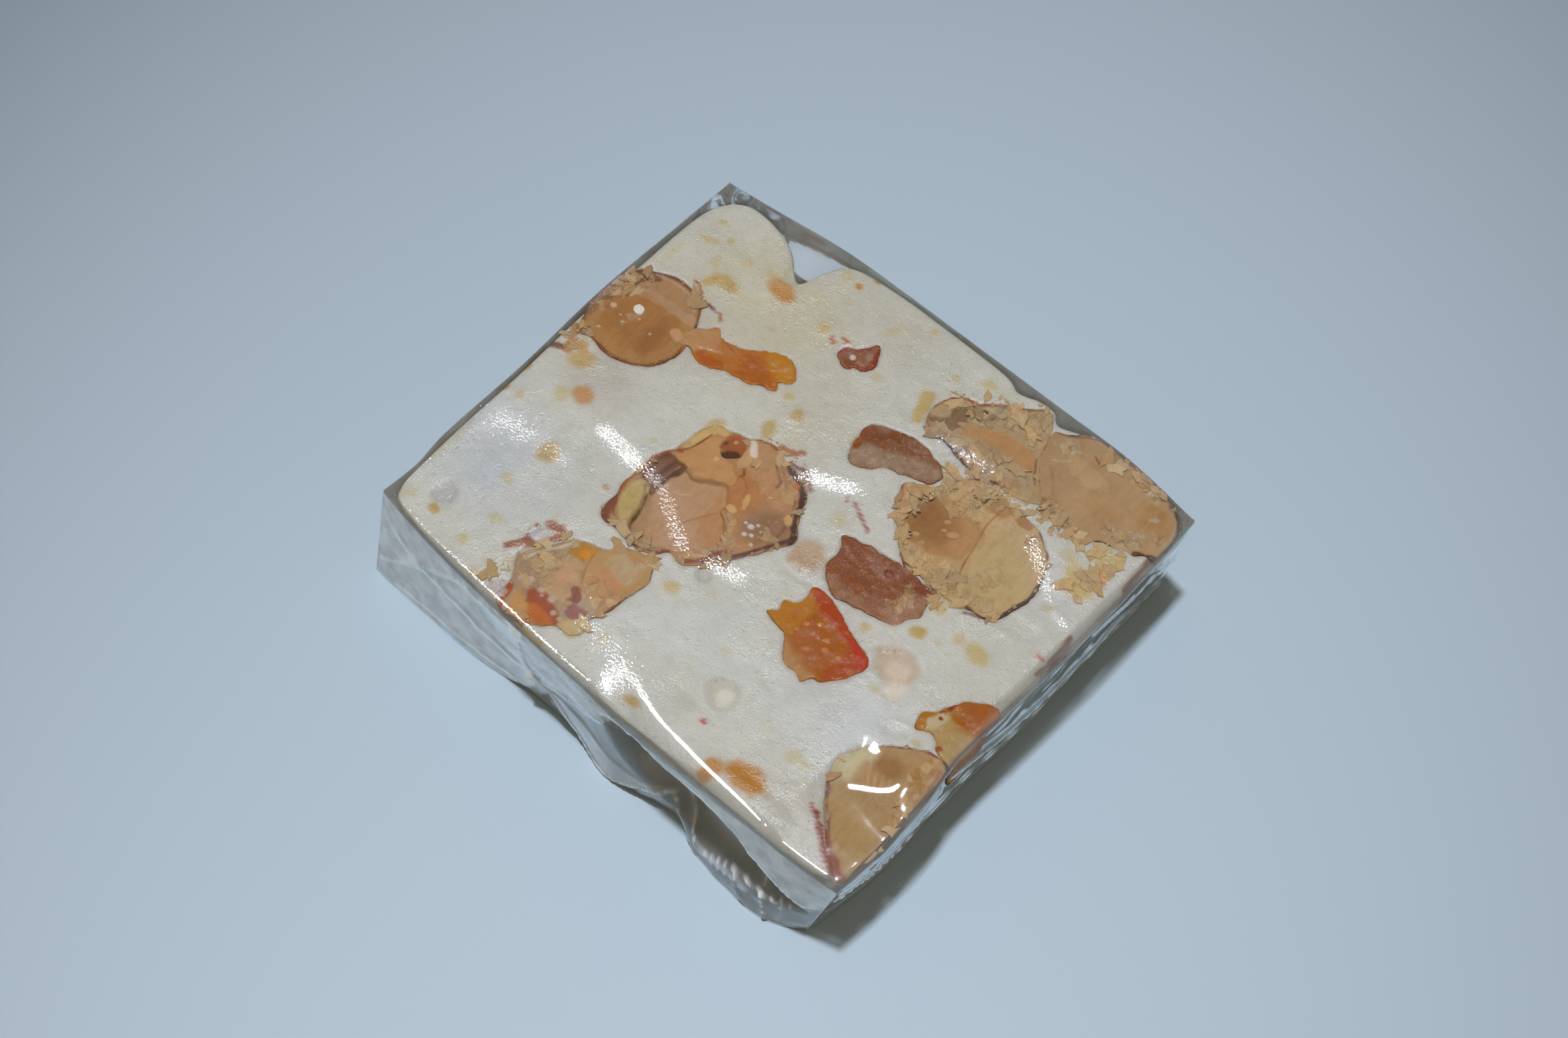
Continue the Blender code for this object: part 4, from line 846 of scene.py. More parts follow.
left_peel.patch([(-16.4, 6.9), (-15.2, 7.4), (-13.6, 7.0), (-14.2, 6.2), (-16.0, 6.1)], (164, 96, 34), 0.02, soft=0.18)
left_peel.spot(-14.4, 8.5, 1.1, 0.6, (172, 122, 88), 20, share=0.8)
left_peel.rough(1.4, 0.08, 1)
left_peel.rough(0.5, 0.03, 2)
left_peel.line([(-17.2, 6.6), (-16.0, 7.6), (-14.6, 8.0)], (184, 150, 112), 0.3, 0.05, share=0.6)
left_peel.piece("left_peel", "peel_left", candied_peel, "candied_peel", 3.0, 4.0, side=(160, 96, 44))

centre_peel = Cut([
    (7.1, -3.6), (8.6, -3.4), (10.6, -4.0), (12.8, -4.8), (14.4, -5.4), (15.4, -6.1), (15.2, -7.0), (14.6, -8.4), (13.6, -9.5),
    (12.6, -10.2), (12.1, -11.0), (11.4, -10.5), (10.0, -10.5), (8.9, -9.6), (8.0, -8.5), (6.6, -8.3), (5.4, -8.0), (6.2, -7.2),
    (5.9, -6.2), (6.8, -5.7), (7.0, -4.6)],
    (160, 98, 56), 52)
centre_peel.patch([(6.9, -3.9), (8.2, -4.2), (8.6, -6.0), (8.4, -8.2), (5.6, -8.0), (5.9, -6.0)], (172, 122, 64), 0.0, soft=0.5)
centre_peel.patch([(8.2, -8.6), (9.6, -9.0), (12.4, -9.6), (12.3, -10.9), (9.6, -10.7)], (170, 136, 98), 0.03, soft=0.5)
centre_peel.patch([(9.0, -6.2), (11.6, -7.0), (13.4, -8.2), (11.8, -9.8), (9.4, -8.6)], (160, 104, 72), 0.02, soft=0.6, share=0.8)
centre_peel.patch([(13.6, -5.6), (15.3, -6.2), (14.8, -8.2), (13.2, -9.4), (13.2, -7.4)], (162, 84, 36), 0.0, soft=0.35)
centre_peel.patch([(7.3, -3.5), (10.6, -4.0), (15.4, -6.0), (15.2, -6.8), (13.6, -6.2), (11.6, -5.3), (9.4, -4.9), (8.0, -4.5)], (164, 74, 16), 0.05, soft=0.22)
centre_peel.line([(13.0, -5.4), (14.4, -5.9), (15.2, -6.3)], (176, 62, 8), 0.7, 0.02, share=0.8)
centre_peel.rough(1.6, 0.10, 3)
centre_peel.rough(0.6, 0.04, 4)
for x, y in ((11.2, -6.6), (11.7, -7.4), (8.9, -6.6), (13.0, -7.2), (10.4, -8.4), (9.8, -5.9)):
    centre_peel.spot(x, y, 0.3, 0.2, (186, 140, 92), 30, lift=0.05, soft=0.3, share=0.8)
centre_peel.piece("centre_peel", "peel_centre", candied_peel, "candied_peel", 3.2, 4.0, side=(160, 80, 30))

right_peel = Cut([
    (25.9, -1.6), (24.6, -2.2), (23.6, -2.9), (23.1, -4.0), (22.5, -5.2), (21.7, -6.0), (21.6, -7.0), (22.2, -7.7), (23.2, -7.2),
    (24.2, -7.6), (24.8, -8.2), (26.0, -8.4), (27.2, -8.2), (27.5, -5.4), (27.2, -3.2), (26.6, -2.0)],
    (158, 104, 36), 53)
right_peel.patch([(23.0, -4.4), (24.6, -5.2), (27.6, -5.2), (27.4, -8.6), (24.4, -8.0), (22.6, -7.0)], (168, 148, 106), 0.0, soft=0.45)
right_peel.patch([(26.1, -2.0), (28.0, -2.4), (28.0, -8.6), (26.3, -8.4), (26.5, -5.0)], (156, 112, 70), 0.0, soft=0.4, share=0.8)
right_peel.patch([(23.2, -3.2), (24.8, -2.2), (26.2, -1.8), (26.4, -4.6), (24.4, -4.9)], (156, 98, 22), 0.04, soft=0.25)
right_peel.patch([(21.5, -6.4), (22.6, -5.3), (22.8, -6.0), (22.3, -7.6), (21.7, -7.2)], (166, 118, 46), 0.04, soft=0.15)
right_peel.patch([(22.6, -5.4), (23.4, -5.0), (23.6, -6.8), (22.5, -6.8)], (182, 172, 142), 0.0, soft=0.2)
right_peel.line([(23.1, -3.4), (23.2, -4.4), (22.7, -5.2)], (140, 74, 50), 0.2, 0.03, ragged=1.0)
right_peel.spot(23.1, -4.4, 0.2, 0.3, (128, 56, 40), 0, lift=0.04, soft=0.15)
right_peel.spot(23.1, -5.6, 0.22, 0.18, (136, 66, 50), 0, lift=0.03, soft=0.15)
right_peel.spot(24.8, -7.8, 0.35, 0.3, (150, 84, 60), 0, lift=0.03, soft=0.2)
right_peel.rough(1.2, 0.08, 5)
right_peel.rough(0.5, 0.03, 6)
right_peel.piece("right_peel", "peel_right", candied_peel, "candied_peel", 6.0, 3.0, side=(152, 104, 56))

# ------------------------------------------------------------------------------------------------
# The candied fruit: soft brick-red and brown chunks, with sugar that has crystallised in grains.


def fruit_finish():
    made, wire, shader = finish("candied_fruit", 0.36, Specular_IOR_Level=0.14, Subsurface_Weight=0.10, Subsurface_Scale=0.0006)
    shader.inputs["Subsurface Radius"].default_value = (1.0, 0.35, 0.2)
    flesh, bloom, sugar = wire.noise(0.6, 4.0), wire.noise(2.6, 3.0), wire.noise(0.14, 1.0)
    colour = body_colour(wire).blend(flesh.ramp(0.35, 0.7, 0, 0.55), (0.74, 0.62, 0.58, 1), "MULTIPLY")
    colour = colour.blend(bloom.ramp(0.5, 0.75, 0, 0.22), (0.62, 0.45, 0.38, 1))
    colour = colour.blend(sugar.ramp(0.66, 0.72, 0, 0.4), (0.72, 0.56, 0.48, 1))
    join(colour, shader, "Base Color")
    join(flesh.ramp(0.3, 0.7, 0.25, 0.5), shader, "Roughness")
    bump(wire, shader, flesh * 0.6 + sugar * 0.4, 0.12, 0.8)
    return made


candied_fruit = fruit_finish()

back_fruit = Cut([
    (-0.1, 10.6), (0.2, 11.8), (1.6, 12.4), (3.0, 12.9), (5.2, 13.0), (6.8, 12.7), (8.0, 11.8), (7.9, 10.6), (6.4, 10.0),
    (5.0, 9.5), (3.8, 9.0), (3.0, 8.2), (1.6, 7.4), (0.6, 7.6), (0.2, 8.8)],
    (128, 84, 60), 61)
back_fruit.patch([(0.4, 7.8), (1.6, 7.6), (3.2, 8.6), (5.4, 9.8), (7.8, 11.0), (7.6, 12.2), (5.2, 11.6), (2.4, 10.2), (0.4, 9.4)], (148, 126, 106), 0.0, soft=0.5)
back_fruit.patch([(0.0, 10.8), (0.4, 11.8), (2.4, 12.6), (5.4, 12.9), (3.2, 11.8), (1.2, 10.4)], (122, 70, 38), 0.02, soft=0.35)
back_fruit.spot(0.5, 9.1, 0.3, 0.5, (138, 70, 40), 0, soft=0.3)
back_fruit.spot(2.4, 10.5, 0.3, 0.3, (134, 72, 46), 0, soft=0.3)
back_fruit.spot(0.3, 10.4, 0.4, 0.6, (134, 66, 30), 0, soft=0.3)
back_fruit.rough(1.2, 0.10, 7)
back_fruit.rough(0.4, 0.04, 8)
back_fruit.piece("back_fruit", "fruit_back", candied_fruit, "candied_fruit", 2.8, 3.0, side=(120, 70, 44))

right_fruit = Cut([
    (5.6, 1.6), (6.6, 2.1), (8.2, 2.5), (9.8, 2.7), (11.4, 3.1), (13.4, 3.0), (15.2, 3.1), (15.2, 2.0), (15.6, 0.6), (15.0, -0.6),
    (14.4, -1.8), (12.6, -2.3), (11.2, -2.6), (9.6, -3.1), (8.4, -3.1), (7.2, -2.2), (6.3, -1.2), (6.2, 0.4)],
    (133, 80, 57), 62)
right_fruit.patch([(13.0, 2.6), (15.4, 2.6), (15.4, 0.2), (14.4, -1.8), (9.4, -3.0), (7.2, -2.0), (10.6, -1.6), (13.0, -0.6)], (146, 106, 82), 0.0, soft=0.5)
right_fruit.patch([(10.6, 2.6), (15.2, 2.9), (14.4, 2.0), (12.0, 1.8)], (124, 64, 42), 0.02, soft=0.25)
right_fruit.spot(9.5, -1.3, 1.0, 0.45, (140, 76, 38), 0, soft=0.3)
right_fruit.spot(6.9, -1.2, 0.5, 0.5, (136, 76, 44), 0, soft=0.3)
right_fruit.spot(10.9, 1.6, 0.42, 0.36, (122, 50, 22), 0, lift=-0.35, soft=0.15)
right_fruit.line([(10.5, 1.9), (11.0, 2.0), (11.4, 1.6)], (150, 84, 50), 0.16, 0.04)
right_fruit.plates([(12.6, 1.9), (13.4, 1.9), (14.5, 0.6), (15.2, -0.2), (13.8, -0.6), (13.2, -1.0), (12.2, -0.4), (13.0, 0.6)], 0.9,
                   [(176, 150, 112), (160, 128, 92)], 0.10, 63, cover=0.85)
right_fruit.rough(1.3, 0.10, 9)
right_fruit.rough(0.45, 0.05, 10)
right_fruit.piece("right_fruit", "fruit_right", candied_fruit, "candied_fruit", 2.8, 3.0, side=(120, 60, 40))

fruit_chip = Cut([
    (-7.1, 15.0), (-6.9, 15.9), (-6.1, 16.4), (-5.5, 17.1), (-5.0, 18.0), (-4.5, 17.8), (-4.1, 17.0), (-3.6, 16.4), (-3.7, 15.6),
    (-4.2, 14.9), (-5.0, 14.8), (-5.4, 14.2), (-6.2, 14.3)],
    (138, 94, 74), 64, wobble=0.10, cell=0.1)
fruit_chip.skin((132, 52, 24), 0.5, 0.03, 3)
fruit_chip.patch([(-6.8, 15.4), (-6.0, 15.9), (-5.2, 15.0), (-5.4, 14.4), (-6.4, 14.5)], (122, 72, 50), 0.0, soft=0.2)
fruit_chip.spot(-5.75, 15.5, 0.3, 0.28, (196, 184, 174), 0, lift=0.06, soft=0.2)
fruit_chip.spot(-4.7, 16.6, 0.35, 0.5, (152, 118, 104), 20, lift=0.03, soft=0.4)
fruit_chip.rough(0.6, 0.05, 11)
fruit_chip.piece("fruit_chip_piece", "fruit_chip", candied_fruit, "candied_fruit", 1.8, 3.0, side=(120, 60, 40))

# ------------------------------------------------------------------------------------------------
# The nougat: whipped egg white, honey and sugar with the nuts stirred in, pressed in a frame and
# sawn in squares. It is soft and off-white, creamier towards the back, with rounded edges, sides
# that lean in, a notch in the back edge, and crumbs of nut and peel showing as yellow spots.



def nougat_finish():
    made, wire, shader = finish("nougat", 0.4, Specular_IOR_Level=0.35, Subsurface_Weight=0.12, Subsurface_Scale=0.0012)
    shader.inputs["Subsurface Radius"].default_value = (1.0, 0.8, 0.55)
    cloud, curd, bubbles = wire.noise(2.2, 4.0), wire.noise(0.6, 4.0), wire.cells(0.8)
    honey, grit, wet = wire.noise(1.3, 3.0), wire.noise(0.17, 2.0), wire.noise(3.5, 2.0)
    colour = body_colour(wire).blend(cloud.ramp(0.4, 0.7, 0, 0.5), (0.95, 0.96, 0.97, 1), "MULTIPLY")
    colour = colour.blend(honey.ramp(0.52, 0.72, 0, 0.6), (0.98, 0.97, 0.88, 1), "MULTIPLY")
    colour = colour.blend(curd.ramp(0.4, 0.7, 0, 0.6), (0.92, 0.91, 0.88, 1), "MULTIPLY")
    colour = colour.blend(bubbles.ramp(0.05, 0.18, 0.3, 0), (0.84, 0.82, 0.75, 1), "MULTIPLY")
    colour = colour.blend(grit.ramp(0.55, 0.68, 0, 0.8), (1.09, 1.09, 1.08, 1), "MULTIPLY")
    join(colour, shader, "Base Color")
    join(wet.ramp(0.35, 0.65, 0.22, 0.45), shader, "Roughness")
    bump(wire, shader, curd * 0.45 + bubbles.ramp(0.0, 0.25) * 0.3 + grit * 0.4, 0.15, 0.9)
    return made


NOUGAT_RIM = [
    [(-26.0, -20.8), (-25.3, -21.6), (-22, -22.3), (-15, -22.9), (-5, -23.3), (5, -23.3), (15, -23.2),
     (22, -22.9), (25.0, -22.5), (26.0, -21.7)],
    [(26.0, -21.7), (26.6, -20), (26.6, -13), (26.1, -7), (26.4, 3), (26.6, 12), (26.7, 18), (26.4, 21.5),
     (25.5, 22.9)],
    [(25.5, 22.9), (24, 23.6), (18, 23.8), (14.5, 23.5), (12.1, 22.7), (11, 23.5), (9.3, 23.5), (7.3, 22.9),
     (5, 23.5), (-4, 23.5), (-8.3, 23.3), (-11.3, 22.9), (-12.8, 22.1), (-13.6, 20.7), (-14.1, 19.2),
     (-14.7, 18.1), (-15.7, 18.7), (-16.8, 19.8), (-18.3, 20.7), (-20.8, 21.3), (-23.3, 21.3), (-24.9, 20.4)],
    [(-24.9, 20.4), (-26.0, 18.4), (-26.4, 15), (-26.5, 8), (-26.7, 2), (-26.5, -6), (-26.5, -12),
     (-26.4, -17), (-26.3, -19.6), (-26.0, -20.8)],
]
NOUGAT_FOOT = [
    [(-25.0, -21.4), (-15, -22.1), (-5, -21.9), (2, -20.9), (10, -20.0), (18, -19.8), (23.4, -20.2)],
    [(23.4, -20.2), (24.0, -10), (24.3, 0), (24.5, 10), (24.4, 20.8)],
    [(24.4, 20.8), (15, 21.3), (5, 21.2), (-8, 21.0), (-14.5, 18.4), (-18, 19.4), (-23.8, 18.6)],
    [(-23.8, 18.6), (-25.4, 10), (-25.6, 0), (-25.5, -12), (-25.0, -21.4)],
]
NOUGAT_EDGE = 0.8, 1.4  # the radius of its top edge, at the back left and at the front right
CREAM = (190, 190, 178)

# Where it is yellower, whiter or greyer: place, half lengths and colour.
TONES = [
    ((-15, 15), (9, 6), (184, 179, 153)), ((-6, 20), (7, 4), (181, 179, 162)), ((4, -16), (12, 6), (190, 191, 183)),
    ((19, -11), (5, 4), (193, 195, 190)), ((-23, -13), (6, 5), (180, 185, 184)), ((-21, -1), (4, 3), (178, 174, 160)),
    ((-18, 8), (6, 3), (180, 174, 154)), ((8, -19), (10, 3), (188, 187, 174)), ((24, 2), (4, 6), (187, 186, 173)),
    ((-4, 8), (4, 5), (185, 182, 164)), ((20, -20), (5, 3), (186, 184, 172)), ((22, 10), (4, 4), (190, 190, 180)),
]

# Crumbs of nut and peel under the surface: (x, y, half x, half y, turn, strength), by colour.
CRUMBS = {
    (178, 126, 44): [(14.8, -20.5, 2.0, 1.25, 0, 1), (12.1, -21.6, 0.9, 0.8, 0, 0.9), (12.0, -22.6, 0.7, 0.6, 0, 0.8),
                     (-15.2, 16.4, 1.5, 0.9, -8, 0.9), (24.4, 13.6, 0.8, 1.3, 10, 0.9), (-26.4, -7.4, 0.35, 0.4, 0, 1),
                     (-20.6, -3.5, 1.0, 0.9, 0, 0.85), (-10.3, 21.4, 0.35, 0.3, 0, 1), (-9.4, 23.0, 0.4, 0.3, 0, 0.8)],
    (174, 146, 62): [(-19.4, 13.6, 1.4, 0.7, 5, 0.8), (-20.6, 12.8, 0.5, 0.8, -20, 0.8), (-6.3, 5.1, 0.7, 1.0, 25, 0.8),
                     (-5.4, 7.7, 0.6, 0.7, 30, 0.7), (-18.9, -9.6, 1.0, 1.1, 0, 0.8), (23.4, 11.6, 1.2, 0.9, -20, 0.75),
                     (2.9, -21.7, 0.95, 0.4, 5, 0.85), (-8.2, -23.5, 1.4, 0.45, -8, 0.9), (2.2, 16.0, 0.6, 1.7, 12, 0.8),
                     (16.4, -0.9, 0.75, 0.6, 30, 0.9), (-9.9, 2.0, 0.8, 1.1, 0, 0.7), (-22.4, -20.1, 0.6, 0.45, -15, 0.9),
                     (-26.4, -4.6, 0.3, 0.5, 0, 0.8), (-23.3, -0.9, 1.3, 0.9, 30, 0.75), (24.5, -19.6, 0.3, 0.3, 0, 0.5)],
    (174, 149, 115): [(4.6, -1.8, 1.7, 1.5, 0, 0.9), (3.8, -2.9, 0.6, 0.5, 0, 0.7)],
    (190, 170, 106): [(22.6, 12.2, 0.9, 1.4, 30, 0.7), (24.2, 11.4, 1.1, 0.6, 20, 0.7), (23.4, 15.4, 1.3, 0.8, -30, 0.6), (24.6, 14.8, 0.5, 1.0, 0, 0.6)],
    (182, 162, 98): [(-2.0, -11.9, 0.8, 0.6, 30, 0.8), (21.4, 0.9, 1.3, 0.8, -10, 0.85), (19.3, 1.0, 0.5, 0.5, 0, 0.7),
                      (16.2, 2.3, 0.6, 1.0, 20, 0.7), (12.8, -3.5, 0.5, 0.45, 0, 0.75), (-7.2, 8.8, 0.6, 0.4, 10, 0.7),
                      (-9.7, 16.1, 0.8, 0.6, 0, 0.65), (-2.1, 22.4, 0.5, 0.3, 0, 0.8), (5.0, 21.6, 0.8, 0.5, 20, 0.7),
                      (2.4, 20.1, 0.4, 0.35, 0, 0.6), (-24.0, 18.2, 0.5, 0.25, 0, 0.7), (-22.1, 17.1, 0.5, 0.35, -30, 0.7),
                      (-23.6, 16.0, 1.0, 0.35, 20, 0.7), (-17.1, 17.0, 0.5, 0.4, 0, 0.6), (-18.4, -20.6, 0.55, 0.5, 0, 0.6),
                      (-15.5, -22.2, 0.6, 0.5, 0, 0.55), (-17.7, -17.3, 0.6, 0.5, 20, 0.5), (-19.8, -13.8, 0.6, 0.45, 0, 0.55),
                      (-24.9, -7.2, 0.35, 0.5, 30, 0.7), (-22.2, -4.6, 0.7, 0.8, 0, 0.55), (-21.6, 14.6, 0.5, 0.5, 0, 0.45),
                      (-11.9, 21.4, 0.5, 0.7, 30, 0.45), (-4.9, 19.8, 0.3, 0.9, -25, 0.45), (23.4, 15.2, 1.4, 1.0, 20, 0.6),
                      (21.0, 13.4, 0.8, 0.7, 0, 0.45), (-14.1, 3.0, 0.45, 0.2, 0, 0.45), (22.9, 8.3, 0.5, 0.4, 0, 0.5),
                      (-2.8, 15.4, 0.6, 0.5, 0, 0.4), (0.4, 9.6, 0.6, 0.9, 0, 0.5), (4.2, 2.6, 0.8, 0.8, 0, 0.35),
                      (9.0, -0.2, 0.2, 0.2, 0, 0.3), (-2.7, -19.3, 0.5, 0.6, -30, 0.5), (-5.2, -20.9, 0.6, 0.4, 10, 0.5),
                      (-13.8, -19.4, 0.6, 0.5, 0, 0.45), (-14.9, -20.6, 0.5, 0.5, 0, 0.4), (-12.9, -2.6, 0.35, 0.3, 0, 0.4),
                      (5.6, -13.2, 0.4, 0.4, 0, 0.35), (1.0, -9.9, 0.6, 0.5, 30, 0.3), (17.2, -7.3, 0.5, 0.35, 0, 0.5),
                      (18.3, -0.5, 0.4, 0.3, 0, 0.4), (-6.7, -23.2, 0.6, 0.4, 0, 0.4), (23.0, -8.6, 0.5, 0.4, 20, 0.6),
                      (-19.4, 16.4, 0.7, 0.5, 10, 0.4), (10.2, -15.0, 0.3, 0.3, 0, 0.3), (-0.2, -9.0, 0.3, 0.4, 0, 0.45)],
    (184, 178, 138): [(16.3, -16.5, 0.8, 0.7, 20, 0.8), (17.6, -16.4, 0.5, 0.4, 0, 0.7), (-13.7, -13.8, 0.4, 0.3, 0, 0.5),
                      (-16.3, 13.5, 1.2, 0.8, 30, 0.35), (-12.2, 18.0, 1.6, 0.6, 10, 0.35), (6.8, 22.2, 0.8, 0.5, 0, 0.4),
                      (-25.2, 12.6, 0.4, 1.6, 0, 0.6), (-26.0, -14.5, 0.35, 3.0, 0, 0.5), (-25.4, -20.6, 0.7, 1.0, -30, 0.5),
                      (13.0, -15.6, 0.8, 0.4, 0, 0.3), (20.2, -13.2, 0.7, 1.6, 20, 0.4), (-24.0, -22.0, 1.4, 0.35, -15, 0.5)],
}
# Dimples and smears: (x, y, half x, half y, turn, depth in mm, colour).
DIMPLES = [
    (17.0, -4.4, 1.9, 1.6, -8, 0.30, (186, 168, 144)), (17.6, -4.9, 1.1, 1.2, 0, 0.05, (200, 184, 162)), (18.5, -6.3, 0.85, 1.0, 0, 0.10, (206, 197, 180)),
    (8.0, -16.1, 1.3, 1.3, 0, 0.22, (182, 180, 162)), (8.5, -16.3, 0.8, 0.95, 0, 0.0, (205, 201, 182)),
    (-22.9, -18.4, 1.2, 1.1, 0, 0.14, (172, 173, 166)), (-0.8, -9.2, 0.7, 0.6, 0, 0.2, (180, 178, 165)),
    (5.6, -3.6, 1.8, 0.5, 10, 0.12, None), (-13.0, -15.5, 1.0, 1.7, -35, 0.25, (187, 184, 172)),
    (-12.6, -22.0, 0.9, 1.0, 0, 0.2, (176, 168, 160)), (22.2, 5.2, 2.2, 0.9, 10, 0.1, None),
    (9.5, -12.6, 1.6, 0.6, -20, 0.10, None),
    (-15.5, 18.6, 0.8, 1.1, 20, 0.2, None), (21.0, -9.0, 1.0, 0.6, 30, 0.16, None),
]
# Shreds of skin and peel: path, width and colour.
SHREDS = [
    ([(-21.6, 12.0), (-20.9, 11.7), (-20.2, 11.3)], 0.28, (158, 86, 42)), ([(-22.4, 10.9), (-20.9, 11.0), (-18.9, 10.85), (-17.7, 10.8)], 0.14, (122, 84, 66)),
    ([(-19.1, 10.8), (-18.6, 10.9), (-18.2, 10.8)], 0.34, (112, 68, 56)), ([(-17.5, 10.9), (-17.1, 10.4)], 0.28, (160, 110, 66)),
    ([(3.2, 4.9), (3.6, 4.3)], 0.26, (146, 88, 60)), ([(4.2, 4.7), (5.4, 4.1), (6.9, 3.4)], 0.28, (140, 78, 52)), ([(-8.6, 15.8), (-8.0, 15.5)], 0.4, (168, 102, 62)),
    ([(8.6, -19.1), (8.8, -19.2)], 0.34, (176, 62, 52)), ([(25.2, 4.35), (25.8, 4.25)], 0.3, (176, 84, 42)), ([(-12.9, -8.7), (-12.6, -8.8)], 0.3, (168, 116, 76)),
    ([(19.8, 4.0), (18.9, 3.6), (18.0, 3.2)], 0.24, (112, 70, 60)), ([(-7.7, 16.5), (-7.2, 16.4)], 0.4, (168, 106, 66)), ([(20.2, -18.4), (20.4, -18.6)], 0.32, (164, 92, 66)),
    ([(21.0, -18.8), (22.4, -19.8), (24.0, -20.9), (25.4, -21.7)], 0.6, (140, 72, 46)), ([(1.6, 17.0), (2.2, 15.6), (2.9, 14.4)], 0.8, (180, 158, 96)),
    ([(26.2, 7.6), (26.3, 5.0), (26.2, 3.0)], 0.34, (128, 96, 84)), ([(26.4, 18.0), (26.5, 14.2)], 0.34, (128, 96, 84)), ([(-11.4, -23.0), (-9.2, -23.2), (-6.6, -23.3)], 0.5, (188, 162, 92)),
    ([(-13.4, -22.2), (-12.6, -21.8), (-12.2, -22.8)], 0.7, (178, 168, 158)), ([(-14.6, -15.4), (-14.2, -16.8), (-15.0, -18.3)], 0.8, (146, 94, 70)), ([(-13.8, -14.6), (-12.4, -14.4), (-13.0, -16.2), (-14.4, -17.6)], 0.7, (158, 112, 86)),
    ([(-14.1, -16.0), (-14.0, -16.2)], 0.8, (190, 190, 188)), ([(-27.0, -1.9), (-26.0, -1.3), (-24.9, -1.1)], 0.5, (118, 74, 52)), ([(-26.0, 1.4), (-25.4, 0.2), (-24.9, -0.8)], 0.8, (168, 124, 74)),
    ([(-24.6, 0.6), (-23.8, -0.2)], 0.7, (184, 150, 96)), ([(-4.2, 4.4), (-3.2, 4.6), (-2.6, 5.4)], 0.6, (162, 100, 62)), ([(-2.4, 3.9), (-1.0, 4.0), (0.4, 3.2)], 0.4, (120, 66, 48)),
]
# Nuts and peel sawn through at the sides: side, along it in mm, height, half length, half height, colour.
SIDE_CUTS = [
    (0, -19, 5.5, 3.2, 2.0, (171, 148, 118)), (0, -2, 4.0, 2.0, 2.4, (170, 150, 122)), (0, 13, 6.2, 2.4, 1.6, (166, 128, 84)),
    (0, 6, 8.6, 1.2, 0.8, (181, 150, 96)), (0, -9.6, 9.6, 1.1, 0.8, (178, 132, 80)), (0, 20, 3.2, 1.4, 1.2, (176, 150, 110)),
    (1, 5.3, 8.6, 2.6, 2.2, (126, 92, 76)), (1, 5.3, 8.2, 2.2, 1.7, (170, 146, 112)), (1, 16, 8.4, 2.3, 2.2, (130, 94, 74)),
    (1, 16, 8.0, 1.9, 1.8, (172, 146, 112)), (1, -5, 8.2, 3.2, 3.4, (171, 124, 66)), (1, -16, 7.4, 4.6, 4.4, (168, 136, 98)),
    (1, 21, 4.2, 1.4, 1.2, (178, 158, 112)), (1, 11, 3.2, 1.8, 1.0, (180, 156, 108)), (1, -2, 2.6, 1.4, 1.0, (180, 150, 92)),
    (2, 19, 8.0, 6.0, 3.4, (168, 142, 106)), (2, 6, 5.4, 3.4, 2.4, (169, 128, 84)), (2, -6, 7.6, 1.6, 1.0, (181, 152, 98)),
    (2, -4, 2.8, 2.6, 1.6, (168, 144, 112)), (2, -19, 5.0, 2.6, 2.0, (172, 130, 78)), (2, 0.5, 9.8, 0.9, 0.7, (182, 160, 104)),
    (3, 6.4, 8.0, 4.4, 3.8, (130, 88, 62)), (3, 6.4, 8.4, 3.8, 3.3, (152, 112, 74)), (3, -2.8, 9.4, 1.8, 1.8, (144, 106, 66)),
    (3, -11, 4.4, 3.0, 2.2, (170, 146, 114)), (3, 16, 4.0, 1.8, 1.4, (178, 142, 88)), (3, -17, 8.2, 0.9, 0.7, (181, 156, 104)),
    (3, -6, 5.4, 0.9, 0.7, (180, 150, 96)), (3, 12, 9.6, 0.7, 0.5, (181, 156, 104)), (3, -19.5, 3.0, 1.6, 1.0, (176, 158, 112)),
]

# Where the film and the nougat behind it are drawn in under the flaps: side, outline as (along, up).
TUCKS = [
    (0, [(1.0, 9.6), (3.8, 10.7), (8.8, 10.1), (16.5, 9.4), (25.6, 5.4), (25.4, 4.0), (22.2, 2.8), (18.3, 1.9),
         (14.3, 1.2), (10.4, 1.6), (6.8, 3.4), (3.6, 6.0)]),
    (2, [(-0.6, 9.0), (-2.4, 10.4), (-9.0, 10.0), (-17.0, 8.8), (-25.4, 6.4), (-25.4, 4.4), (-20.0, 2.4),
         (-14.0, 1.4), (-8.0, 2.0), (-3.6, 4.4)]),
]
TUCK = 2.3


def tucked(side_of, spot):
    """How far in mm the wall is drawn in at places (along, up) on each side."""
    depth = np.zeros(len(spot))
    for side, outline in TUCKS:
        depth += TUCK * ramp(inside_by(spot, curve(outline, 0.5)), -0.1, 2.4) * (side_of == side)
    return depth


